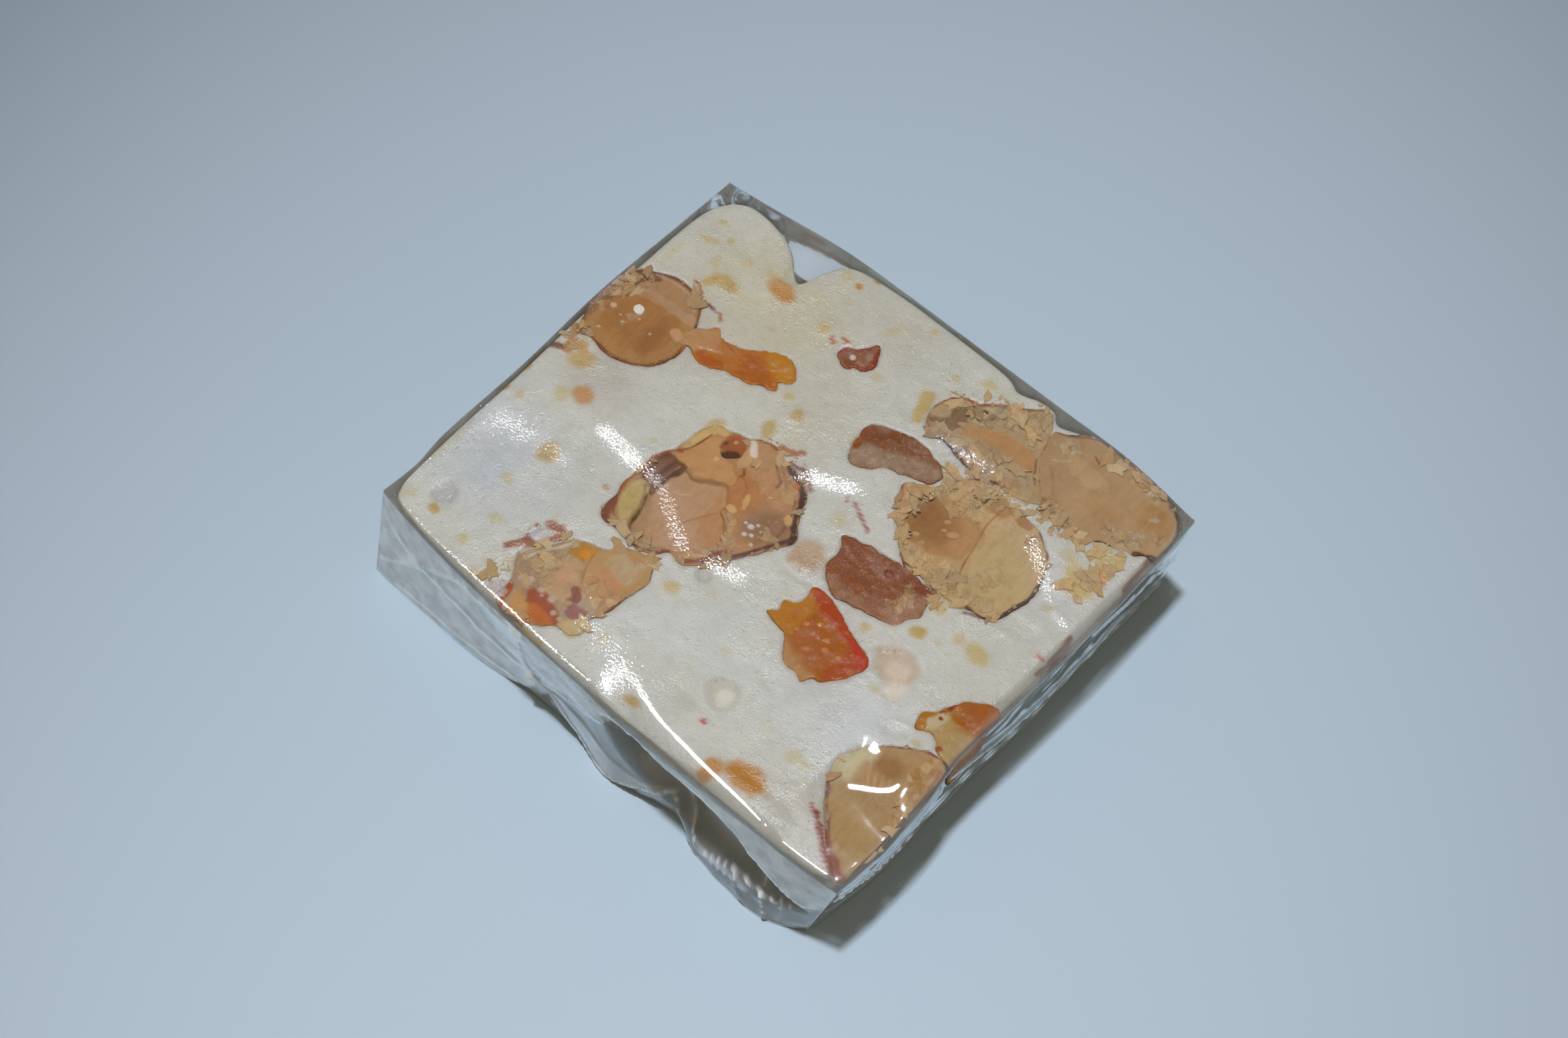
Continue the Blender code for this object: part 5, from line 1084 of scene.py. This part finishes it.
nougat_rim = [curve(side, closed=False) for side in NOUGAT_RIM]
nougat_loop = np.concatenate([side[:-1] for side in nougat_rim])
plan, grid_faces, around, side_shares = block_grid(nougat_rim, 0.26)
face = Surface(plan, CREAM)
for at, half, colour in TONES:
    share = hump(plan[:, 0], plan[:, 1], at, half) * (1 + 0.4 * grain(plan, 3.0, 3))
    face.colour += (linear(colour) - face.colour) * np.clip(share, 0, 1)[:, None]
face.mottle(5.0, 0.035, 5)
face.mottle(1.6, 0.022, 6)
face.rough(4.5, 0.035, 7)
face.rough(1.5, 0.04, 8)
face.rough(0.7, 0.02, 9)
for colour, places in CRUMBS.items():
    for x, y, half_x, half_y, turn, share in places:
        face.spot(x, y, half_x, half_y, colour, turn, lift=0.03, share=share)
for x, y, half_x, half_y, turn, depth, colour in DIMPLES:
    face.spot(x, y, half_x, half_y, colour, turn, -depth, 0.3)
for path, width, colour in SHREDS:
    face.line(path, colour, width, 0.04, 0.6)
for loop in buried:
    at = face.near(loop, 0.2)
    face.lift[at] -= 0.8 * ramp(inside_by(plan[at], loop), -0.08, 0.5)
height = wrap_height(plan) - CLING + np.minimum(face.lift, 0.11)
height = np.minimum(height, TOP - 0.2 - rounding(plan, nougat_loop, *NOUGAT_EDGE))
nougat_top = np.column_stack([plan, height])

rim = plan[around]
foot = np.concatenate([spaced(curve(side, closed=False), share) for side, share in zip(NOUGAT_FOOT, side_shares)])
side_of = np.concatenate([np.full(len(share), k) for k, share in enumerate(side_shares)])
outwards = np.array([(0, -1), (1, 0), (0, 1), (-1, 0)])[side_of]
NOUGAT_RINGS = np.concatenate([np.linspace(0.03, 0.95, 30), [0.985, 1.0]])
rings, ring_colours = [], []
for down in NOUGAT_RINGS:
    at = rim + (foot - rim) * ramp(down, 0.1, 0.85)
    z = height[around] * (1 - down) + 0.02 * down
    at3 = np.column_stack([at, z])
    at = at + outwards * (0.22 * grain(at3, 3.0, 11) + 0.10 * grain(at3, 1.1, 12) - 0.1)[:, None]
    along = np.where(side_of % 2 == 0, rim[:, 0], rim[:, 1])
    inwards = 0.5 * ramp(down, 0.93, 1.0) + 0.45 * tucked(side_of, np.column_stack([along, z]))
    at = at - outwards * inwards[:, None]
    wall = Surface(np.column_stack([along, z]), (182, 177, 158))
    for side, where, up, half_length, half_height, colour in SIDE_CUTS:
        far = np.hypot((along - where) / half_length, (z - up) / half_height) + 0.22 * grain(at3, 0.8, 13)
        share = ramp(1.12 - far, 0, 0.2) * (side_of == side) * 0.85
        wall.colour += (linear(colour) - wall.colour) * share[:, None]
    top_share = 1 - ramp(down, 0.0, 0.12)
    wall.colour += (face.colour[around] - wall.colour) * top_share
    wall.colour *= (1 + 0.05 * grain(at3, 2.0, 14))[:, None]
    rings.append(np.column_stack([at, z]))
    ring_colours.append(wall.colour)
BASE_SHARES = np.linspace(0.94, 0.08, 12)
points, faces = closed_block(nougat_top, grid_faces, around, rings, BASE_SHARES)
base = np.tile(linear((180, 175, 156)), (len(points) - len(face.colour) - len(rings) * len(around), 1))
colours = np.concatenate([face.colour, *ring_colours, base])
nougat = mesh_piece("nougat_square", points, faces, nougat_finish(), colours)
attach(nougat, "root")
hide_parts("wrapped_block")

# ------------------------------------------------------------------------------------------------
# The crumbs and flakes: where the saw and the knife broke the almonds, splinters and dust of the
# same flesh lie pressed flat under the film.


class Tree:
    """A Geometry Nodes tree in the making."""

    def __init__(self, name):
        self.tree = bpy.data.node_groups.new(name, "GeometryNodeTree")
        self.tree.interface.new_socket("Geometry", in_out="INPUT", socket_type="NodeSocketGeometry")
        self.tree.interface.new_socket("Geometry", in_out="OUTPUT", socket_type="NodeSocketGeometry")
        self.start = self.tree.nodes.new("NodeGroupInput")
        self.end = self.tree.nodes.new("NodeGroupOutput")

    def input(self, name, kind):
        """Adds a named input to the modifier: its socket inside the tree, and its identifier."""
        made = self.tree.interface.new_socket(name, in_out="INPUT", socket_type=kind)
        return self.start.outputs[name], made.identifier

    def add(self, kind, settings, inputs, output=0):
        node = self.tree.nodes.new(kind)
        for name, value in settings.items():
            setattr(node, name, value)
        for name, value in inputs.items():
            for one in value if isinstance(value, list) else [value]:
                if isinstance(one, bpy.types.NodeSocket):
                    self.tree.links.new(one, node.inputs[name])
                else:
                    node.inputs[name].default_value = one
        return node.outputs[output]


def splinter(name, seed, corners, thick):
    """A jagged flat bit about 1 mm long, to be scattered at other sizes."""
    draw = np.random.default_rng(seed)
    turn = math.tau * (np.arange(corners) + draw.uniform(-0.3, 0.3, corners)) / corners
    reach = draw.uniform(0.24, 0.60, corners)
    flat = np.stack([np.cos(turn) * reach, np.sin(turn) * reach * 0.62], 1)
    lower = np.column_stack([flat, draw.uniform(-0.015, 0.015, corners)])
    upper = np.column_stack([flat * 0.86, lower[:, 2] + thick])
    points = np.concatenate([lower, upper, [(0, 0, thick * 1.2)]])
    ring = np.arange(corners)
    after = np.roll(ring, -1)
    faces = [tuple(ring[::-1])] + [(a, b, b + corners, a + corners) for a, b in zip(ring, after)]
    faces += [(a + corners, b + corners, 2 * corners) for a, b in zip(ring, after)]
    mesh = bpy.data.meshes.new(name)
    mesh.from_pydata((points * MM).tolist(), [], [tuple(map(int, face)) for face in faces])
    made = bpy.data.objects.new(name, mesh)
    scene.collection.objects.link(made)
    return made


def scatter_tree(kinds):
    """Puts one of several kinds of bit at random places on flaky faces, lying nearly flat."""
    made = Tree("scatter")
    density, density_at = made.input("Density", "NodeSocketFloat")
    smallest, smallest_at = made.input("Smallest", "NodeSocketFloat")
    largest, largest_at = made.input("Largest", "NodeSocketFloat")
    seed, seed_at = made.input("Seed", "NodeSocketInt")
    look, look_at = made.input("Material", "NodeSocketMaterial")
    broken = made.add("GeometryNodeInputNamedAttribute", {"data_type": "FLOAT"}, {"Name": "broken"})
    dense = made.add("ShaderNodeMath", {"operation": "MULTIPLY"}, {0: broken, 1: density})
    points = made.add("GeometryNodeDistributePointsOnFaces", {"distribute_method": "RANDOM"}, {
        "Mesh": made.start.outputs["Geometry"], "Density": dense, "Seed": seed})
    stock = [made.add("GeometryNodeObjectInfo", {}, {"Object": kind, "As Instance": True}, "Geometry") for kind in kinds]
    bits = made.add("GeometryNodeJoinGeometry", {}, {"Geometry": stock})
    turned = made.add("FunctionNodeRandomValue", {"data_type": "FLOAT_VECTOR"}, {
        0: (-0.07, -0.07, 0.0), 1: (0.07, 0.07, math.tau), "Seed": seed})
    chance = made.add("FunctionNodeRandomValue", {"data_type": "FLOAT"}, {2: 0.0, 3: 1.0, "Seed": seed}, 1)
    skewed = made.add("ShaderNodeMath", {"operation": "POWER"}, {0: chance, 1: 2.5})
    size = made.add("ShaderNodeMapRange", {}, {"Value": skewed, "To Min": smallest, "To Max": largest})
    placed = made.add("GeometryNodeInstanceOnPoints", {}, {
        "Points": points, "Instance": bits, "Pick Instance": True, "Rotation": turned, "Scale": size})
    shade = made.add("FunctionNodeRandomValue", {"data_type": "FLOAT"}, {2: -1.0, 3: 1.0, "Seed": 9}, 1)
    shaded = made.add("GeometryNodeStoreNamedAttribute", {"data_type": "FLOAT", "domain": "INSTANCE"}, {
        "Geometry": placed, "Name": "shade", "Value": shade})
    whole = made.add("GeometryNodeRealizeInstances", {}, {"Geometry": shaded})
    finished = made.add("GeometryNodeSetMaterial", {}, {"Geometry": whole, "Material": look})
    made.tree.links.new(finished, made.end.inputs[0])
    return made.tree, {"density": density_at, "smallest": smallest_at, "largest": largest_at, "seed": seed_at, "look": look_at}


def scattered(name, ground, tree, sockets, look, density, smallest, largest, seed, lighter):
    """Runs the tree on the ground, keeps the result under the film and makes it a piece."""
    step = ground.modifiers.new("scatter", "NODES")
    step.node_group = tree
    for key, value in (("density", density), ("smallest", smallest), ("largest", largest), ("seed", seed), ("look", look)):
        step[sockets[key]] = value
    bpy.context.view_layer.update()
    mesh = bpy.data.meshes.new_from_object(ground.evaluated_get(bpy.context.evaluated_depsgraph_get()))
    ground.modifiers.remove(step)
    mesh.name = name
    places = np.empty(len(mesh.vertices) * 3)
    mesh.vertices.foreach_get("co", places)
    places = places.reshape(-1, 3) / MM
    over = np.maximum(-inside_by(places[:, :2], wrap_loop) + 0.25, 0)[:, None]
    places[:, :2] *= 1 - over / np.linalg.norm(places[:, :2], axis=1)[:, None]
    places[:, 2] = np.minimum(places[:, 2], wrap_height(places[:, :2]) - 0.02)
    mesh.vertices.foreach_set("co", (places * MM).ravel())
    tint = np.empty(len(mesh.vertices) * 4)
    mesh.attributes["tint"].data.foreach_get("color", tint)
    tint = tint.reshape(-1, 4)
    shade = np.empty(len(mesh.vertices))
    mesh.attributes["shade"].data.foreach_get("value", shade)
    warm = ramp(shade, -1, 1)[:, None]
    pale = linear((188, 158, 108)) * (1 - warm) + linear((184, 164, 126)) * warm
    vary = 1 + 0.10 * np.sin(9 * shade)[:, None] + 0.05 * grain(places, 0.3, seed + 1)[:, None]
    tint[:, :3] = np.clip((tint[:, :3] * (1 - lighter) + pale * lighter) * vary, 0, 1)
    mesh.attributes["tint"].data.foreach_set("color", tint.ravel())
    made = bpy.data.objects.new(name, mesh)
    scene.collection.objects.link(made)
    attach(made, "root")
    return made


# Where they lie on the nougat beside the almonds: outlines, and how thickly.
SPILT = [
    ([(11.6, 14.0), (14.0, 14.8), (16.6, 15.6), (20.4, 15.4), (21.6, 14.8), (18.6, 13.6), (15.4, 13.6), (12.0, 13.6)], 1.0),
    ([(21.6, 16.4), (24.6, 16.8), (25.0, 13.0), (24.4, 10.6), (22.4, 11.2), (22.2, 14.4)], 0.5), ([(7.0, 13.0), (8.6, 11.6), (9.8, 13.2), (9.4, 14.4)], 0.5),
    ([(2.4, 18.6), (4.6, 20.2), (8.0, 22.6), (11.2, 23.4), (10.2, 22.2), (6.4, 19.2), (3.6, 17.2)], 0.25),
    ([(-7.4, 4.2), (-2.0, 5.2), (-1.4, 4.2), (-4.2, 3.8)], 0.5), ([(-8.4, -11.0), (-4.0, -10.6), (-4.6, -12.2), (-7.6, -12.4)], 0.6),
    ([(-14.6, -18.4), (-12.6, -15.2), (-10.8, -13.6), (-10.4, -14.4), (-12.4, -17.0), (-13.4, -22.8), (-14.4, -22.4)], 0.35),
    ([(-26.4, 1.6), (-24.8, 0.8), (-23.6, -0.6), (-24.6, -1.4), (-26.2, -1.0)], 0.7),
    ([(12.8, 3.2), (16.6, 3.4), (16.6, 0.8), (15.4, 1.6)], 0.5),
    ([(13.6, 22.6), (17.0, 24.0), (21.0, 24.0), (25.2, 23.0), (23.0, 23.4), (17.0, 23.4)], 0.3),
]
start, ground_points, ground_faces, ground_tints, ground_broken = 0, [], [], [], []
for points, faces, colours, broken in nuts:
    ground_points.append(points + (0, 0, 0.02))
    ground_faces += [tuple(int(corner) + start for corner in face) for face in faces]
    ground_tints.append(colours)
    ground_broken.append(broken)
    start += len(points)
for outline, thickly in SPILT:
    loop = curve(outline, 0.4)
    low, high = loop.min(0), loop.max(0)
    count = np.maximum(((high - low) / 0.25).astype(int), 2) + 1
    grid = np.stack(np.meshgrid(*(np.linspace(a, b, n) for a, b, n in zip(low, high, count)), indexing="ij"), -1).reshape(-1, 2)
    index = np.arange(len(grid)).reshape(count) + start
    ground_points.append(np.column_stack([grid, wrap_height(grid) - CLING + 0.04]))
    ground_faces += np.stack([index[:-1, :-1], index[1:, :-1], index[1:, 1:], index[:-1, 1:]], -1).reshape(-1, 4).tolist()
    ground_tints.append(np.tile(linear((186, 164, 118)), (len(grid), 1)))
    ground_broken.append(thickly * ramp(inside_by(grid, loop), -0.1, 0.4))
    start += len(grid)
ground = mesh_piece("flaky_tops", np.concatenate(ground_points), ground_faces, almond_flesh,
                    np.concatenate(ground_tints), broken=np.concatenate(ground_broken))
kinds = [splinter(f"splinter_{k}", 70 + k, 7 + 2 * k, 0.035) for k in range(4)]
tree, sockets = scatter_tree(kinds)
PER_MM2 = 1e6
scattered("almond_flakes", ground, tree, sockets, almond_flesh, 3.0 * PER_MM2, 0.45, 2.4, 3, 0.65)
scattered("almond_dust", ground, tree, sockets, almond_flesh, 14 * PER_MM2, 0.09, 0.34, 4, 0.6)
for leftover in (ground, *kinds):
    bpy.data.objects.remove(leftover)

# ------------------------------------------------------------------------------------------------
# The wrap: one sheet of clear film drawn tight over the top, folded in at the front and back, with
# its laps tucked under the square. It is glossy, milky where it lies double, and creased at the
# folds; its milkiness is also a painted glow round the places where it shines and a painted highlight
# along the folds. The film stands off the leaning sides and flares at its foot in front.
WRAP_FOOT = [
    [(-27.3, -24.3), (-21, -24.4), (-14.5, -24.3), (-8, -23.5), (-2.5, -23.8), (2.5, -24.7), (8.8, -23.4),
     (12.5, -24.8), (17, -25.4), (21, -25.2), (24.4, -23.6)],
    [(24.4, -23.6), (25.4, -16), (25.2, -8), (25.6, 2), (25.5, 12), (25.4, 22.9)],
    [(25.4, 22.9), (15, 23.2), (4, 23.0), (-10, 23.3), (-20, 23.6), (-27.1, 23.0)],
    [(-27.1, 23.0), (-27.2, 12), (-27.3, 0), (-27.2, -12), (-27.3, -24.3)],
]
# Folds in the walls of the film: side, path as (along, up) in mm, how far it stands out, half width
# and milkiness, which also paints a highlight along the fold.
WALL_FOLDS = [
    (0, [(-26.6, 2.3), (-17.3, 10.1), (-13.9, 10.8), (-10.2, 11.6), (-8.6, 7.7), (-7.2, 4.8), (-3.4, 6.2),
         (0.3, 7.7), (3.8, 10.6), (8.8, 10.0), (16.5, 9.2), (25.4, 5.5)], 0.16, 0.16, 0.55),
    (0, [(3.8, 10.6), (4.9, 9.6), (6.6, 6.7), (8.5, 4.6), (10.8, 3.2), (14.3, 1.4), (18.3, 2.7), (22.2, 3.3), (24.6, 4.0)],
     0.28, 0.14, 0.6),
    (0, [(-7.6, 4.9), (-5.2, 4.2), (-2.2, 1.7), (0.9, 0.4), (3.8, 0.5), (9.2, 3.2)], 0.2, 0.16, 0.5),
    (0, [(9.2, 3.2), (11.5, 1.0), (14.5, 0.3)], 0.15, 0.14, 0.4),
    (0, [(10.2, 6.8), (14.5, 5.4), (19.0, 5.6), (24.8, 5.0)], 0.2, 0.12, 0.35),
    (0, [(15.0, 8.4), (19.6, 7.4), (25.2, 5.4)], -0.2, 0.12, 0.25),
    (0, [(20.5, 4.6), (22.3, 2.2), (23.0, 0.4)], 0.3, 0.14, 0.5),
    (0, [(22.6, 5.0), (23.8, 2.6), (24.0, 0.5)], -0.25, 0.14, 0.45),
    (0, [(18.6, 3.0), (19.6, 1.2), (20.8, 0.3)], 0.22, 0.12, 0.4),
    (0, [(-26.4, 9.6), (-22.5, 7.4), (-16.5, 6.6), (-9.4, 5.0)], 0.10, 0.4, 0.06),
    (0, [(-24, 0.9), (-15, 1.6), (-8, 1.2)], 0.10, 0.2, 0.12),
    (1, [(-22.6, 10.4), (-17, 7.2), (-12, 6.4), (-8.4, 8.2), (-3, 6.4), (4, 4.6), (14, 3.4), (22, 1.6)], 0.2, 0.2, 0.35),
    (1, [(-22.8, 8.0), (-14, 4.2), (-6, 3.4), (5, 2.4), (16, 1.6), (22.4, 0.8)], 0.2, 0.15, 0.45),
    (1, [(-23, 5.0), (-12, 1.6), (2, 0.9), (20, 0.5)], 0.16, 0.14, 0.4),
    (1, [(-9.0, 11.0), (-8.2, 8.4), (-6.0, 6.6)], -0.3, 0.35, 0.25),
    (1, [(10, 10.2), (16, 7.8), (22.8, 6.8)], 0.16, 0.2, 0.25),
    (1, [(18, 11.0), (21, 8.4), (23.0, 4.2)], 0.22, 0.16, 0.4),
    (2, [(26.2, 5.0), (12, 5.5), (4.6, 5.4), (1.0, 7.8), (-2.2, 10.6), (-9, 10.1), (-17, 9.0), (-25.6, 6.6)], 0.16, 0.16, 0.5),
    (2, [(-26.4, 9.0), (-16, 4.6), (-6, 2.2), (8, 1.4), (24, 0.9)], 0.24, 0.14, 0.5),
    (2, [(20, 0.6), (12, 4.4), (2, 6.0), (-12, 5.0)], 0.2, 0.14, 0.35),
    (2, [(-22, 1.0), (-20, 4.0), (-21, 9.6)], 0.2, 0.16, 0.35),
    (3, [(-22, 9.4), (-10, 8.2), (4, 8.8), (20, 9.2)], 0.08, 0.3, 0.12),
    (3, [(-23, 3.0), (-8, 1.4), (8, 1.2), (22, 2.6)], 0.14, 0.16, 0.4),
    (3, [(20, 10.6), (21.2, 6.4), (22.4, 1.4)], 0.2, 0.16, 0.35),
]
# Where the film lies double and milky: side, outline as (along, up), milkiness.
WALL_LAPS = [
    (0, [(-28, -1), (-28, 13.4), (-10, 13.4), (-9, 8), (-7, 5), (-8, 1.2), (-14, -1)], 0.34),
    (0, [(-13, 12.9), (-10, 11.8), (-8.6, 7.7), (-7.2, 4.8), (-3.4, 6.2), (0.3, 7.7), (3.8, 10.7), (8.8, 10.1),
         (16.5, 9.4), (25.4, 5.4), (27.6, 12.8)], 0.30),
    (0, [(-7.6, 4.9), (-2.2, 1.7), (0.9, 0), (3.8, 0), (9.2, 3.2), (4, 3.2), (0, 4.4)], 0.16),
    (1, [(-24, 0), (-24, 12.4), (-16, 10), (-8, 9), (-2, 6.4), (12, 4), (23, 3), (23.6, 0)], 0.12),
    (1, [(19, 12.6), (20, 6), (22, 0), (24, 0), (24, 12.6)], 0.2),
    (2, [(27, 5.0), (12, 5.5), (4.6, 5.4), (1.0, 7.8), (-2.2, 10.6), (-9, 10.1), (-17, 9.0), (-27, 6.6), (-27.4, 12.6), (27.4, 12.6)], 0.03),
    (3, [(-25, 0), (-24, 4.4), (-8, 2), (8, 2), (24, 4), (24, 0)], 0.06),
]


def film_finish(name):
    made, wire, shader = finish(name, 0.07, IOR=1.5)
    milk = wire.add("Attribute", {"attribute_name": "milk"}, {}, "Fac")
    smear = wire.noise(1.6, 3.0, (1.0, 0.5, 1.0))
    milk = milk * smear.ramp(0.25, 0.75, 0.7, 1.25)
    gloss = wire.add("Fresnel", {}, {"IOR": 1.5}) * 1.9
    alpha = wire.sum("ADD", gloss, milk, clamp=True)
    join(alpha, shader, "Alpha")
    join(wire.sum("DIVIDE", gloss, alpha + 0.001, clamp=True), shader, "Metallic")
    shader.inputs["Base Color"].default_value = (0.92, 0.98, 1.0, 1.0)
    crinkle, grain_below = wire.noise(2.2, 2.0), wire.noise(0.2, 1.0)
    cling = wire.add("Attribute", {"attribute_name": "cling"}, {}, "Fac")
    bump(wire, shader, crinkle * 0.25 + grain_below * cling * 0.4, 0.05, 1.0)
    return made


plan, grid_faces, around, side_shares = block_grid(wrap_rim, 0.36)
height = wrap_height(plan) + 0.012 * grain(plan, 3.0, 31) + 0.006 * grain(plan, 1.2, 32)
wrap_top = np.column_stack([plan, height])
bare = ramp(-inside_by(plan, nougat_loop), -0.6, 0.4)
milk = 0.004 + 0.10 * bare
near = np.zeros(len(plan))
for path, half_width, rise in SHEENS:
    near = np.maximum(near, np.exp(-((distance_to(plan, np.array(path)) / (2.0 * half_width)) ** 2)))
# Painted glow: the film is made milkier round the places where it shines.
milk += 0.045 * near
# It clings to the grain of the nougat, but is drawn smooth over the front edge and the corner.
x, y = plan.T
cling = 1 + 0.8 * near
cling *= 1 - 0.95 * np.maximum(ramp(x, 1, 6) * ramp(-y, 18.5, 20.5), ramp(x, 17.5, 20) * ramp(-y, 7, 10))
rim = plan[around]
foot = np.concatenate([spaced(curve(side, closed=False), share) for side, share in zip(WRAP_FOOT, side_shares)])
side_of = np.concatenate([np.full(len(share), k) for k, share in enumerate(side_shares)])
ends = np.concatenate([np.minimum(share, 1 - share) for share in side_shares])
outwards = np.array([(0, -1), (1, 0), (0, 1), (-1, 0)])[side_of]
along = np.where(side_of % 2 == 0, rim[:, 0], rim[:, 1])
rings, milk_and_glow_parts = [], [milk]
for down in np.linspace(0.02, 1.0, 44):
    z = height[around] * (1 - down)
    at = rim + (foot - rim) * down
    spot = np.column_stack([along, z])
    out = 0.10 * grain(np.column_stack([at, z]), 4.0, 33) + 0.04 * grain(np.column_stack([at, z]), 1.4, 34)
    out -= tucked(side_of, spot)
    cloud_and_crease_shine = np.array([0.10, 0.05, 0.0, 0.02])[side_of]
    for side, path, rise, half_width, share in WALL_FOLDS:
        far = distance_to(spot, curve(path, 0.5, closed=False))
        ridge = np.exp(-((far / half_width) ** 2)) * (side_of == side)
        out += rise * ridge
        # Painted highlight: a milky line along each fold.
        cloud_and_crease_shine += share * np.exp(-((far / (0.55 * half_width)) ** 2)) * (side_of == side)
    for side, outline, share in WALL_LAPS:
        inside = ramp(inside_by(spot, curve(outline, 0.8)), -0.15, 0.15) * (side_of == side)
        cloud_and_crease_shine += share * inside
        out += 0.12 * inside
    at = at + outwards * (out * ramp(ends, 0, 0.03) * ramp(down, 0, 0.08))[:, None]
    rings.append(np.column_stack([at, z]))
    milk_and_glow_parts.append(cloud_and_crease_shine)
points, faces = closed_block(wrap_top, grid_faces, around, rings, np.linspace(0.97, 0.04, 30))
base = points[len(wrap_top) + len(rings) * len(around):]
lap = ramp(np.abs(base[:, 1] - 1.5 - 0.4 * np.sin(base[:, 0] / 9)), 0.12, 0.3)
milk_and_glow_parts.append(0.03 + 0.05 * (base[:, 1] > 1.5) + 0.5 * (1 - lap))
clings = np.concatenate([cling, np.full(len(points) - len(cling), 0.15)])
wrap = mesh_piece("film_wrap", points, faces, film_finish("clear_film"), milk=np.concatenate(milk_and_glow_parts), cling=clings)
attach(wrap, "root")
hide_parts("wrapped_block")

# ------------------------------------------------------------------------------------------------
# The studio: a pale table top, painted lighter near the square and darker away from it as a pool of
# light, a small cool lamp almost overhead, a weak one that the film mirrors, and a dim room.
TABLE_PAINTED_LIT, TABLE_PAINTED_DIM = (0.445, 0.568, 0.637, 1), (0.112, 0.150, 0.176, 1)

table_finish, wire, shader = finish("pale_table", 0.42, Specular_IOR_Level=0.1)
place = wire.add("TexCoord", {}, {}, "Object")
glow = wire.add("Mapping", {"vector_type": "TEXTURE"}, {
    "Vector": place, "Location": (0.0226, -0.0317, 0), "Rotation": (0, 0, math.radians(26.6)), "Scale": (0.140, 0.183, 1)})
fade = wire.add("VectorMath", {"operation": "DOT_PRODUCT"}, {0: glow, 1: glow}, "Value")
dust = wire.noise(0.4)
# Painted pool of light: the table's colour falls off from a spot in front of the square.
colour = wire.add("Mix", {"data_type": "RGBA"}, {0: fade, 6: TABLE_PAINTED_LIT, 7: TABLE_PAINTED_DIM}, 2)
join(colour, shader, "Base Color")
bump(wire, shader, dust, 0.01, 0.3)
mesh = bpy.data.meshes.new("table_top")
reach = 0.6
mesh.from_pydata([(-reach, -reach, -0.00003), (reach, -reach, -0.00003), (reach, reach, -0.00003), (-reach, reach, -0.00003)], [], [(0, 1, 2, 3)])
mesh.materials.append(table_finish)
table_top = bpy.data.objects.new("table_top", mesh)
scene.collection.objects.link(table_top)


def hang(name, lamp, towards, away=0.0):
    """Hangs a lamp in a direction from the square, pointing at it."""
    made = bpy.data.objects.new(name, lamp)
    scene.collection.objects.link(made)
    direction = Vector(towards).normalized()
    made.location = direction * away
    made.rotation_euler = direction.to_track_quat("Z", "Y").to_euler()
    return made


key = bpy.data.lights.new("key", "SUN")
key.energy, key.angle, key.color = 2.62, 0.075, (0.90, 0.90, 1.0)
hang("key", key, (-0.07, 0.03, 1.0))
glint = bpy.data.lights.new("glint", "AREA")
glint.shape, glint.size, glint.energy = "DISK", 0.16, 1.9
hang("glint", glint, (-0.372, -0.037, 0.927), 1.0).visible_diffuse = False
world = bpy.data.worlds.new("room")
scene.world = world
world.use_nodes = True
sky, backdrop = Wire(world.node_tree), world.node_tree.nodes["Background"]
height = sky.add("SeparateXYZ", {}, {0: sky.add("TexCoord", {}, {}, "Generated")}, 2)
backdrop.inputs["Color"].default_value = (1.0, 0.80, 0.59, 1)
join(height.ramp(0.0, 0.6, 0.62, 0.20), backdrop, "Strength")
scene.view_settings.view_transform = "Standard"
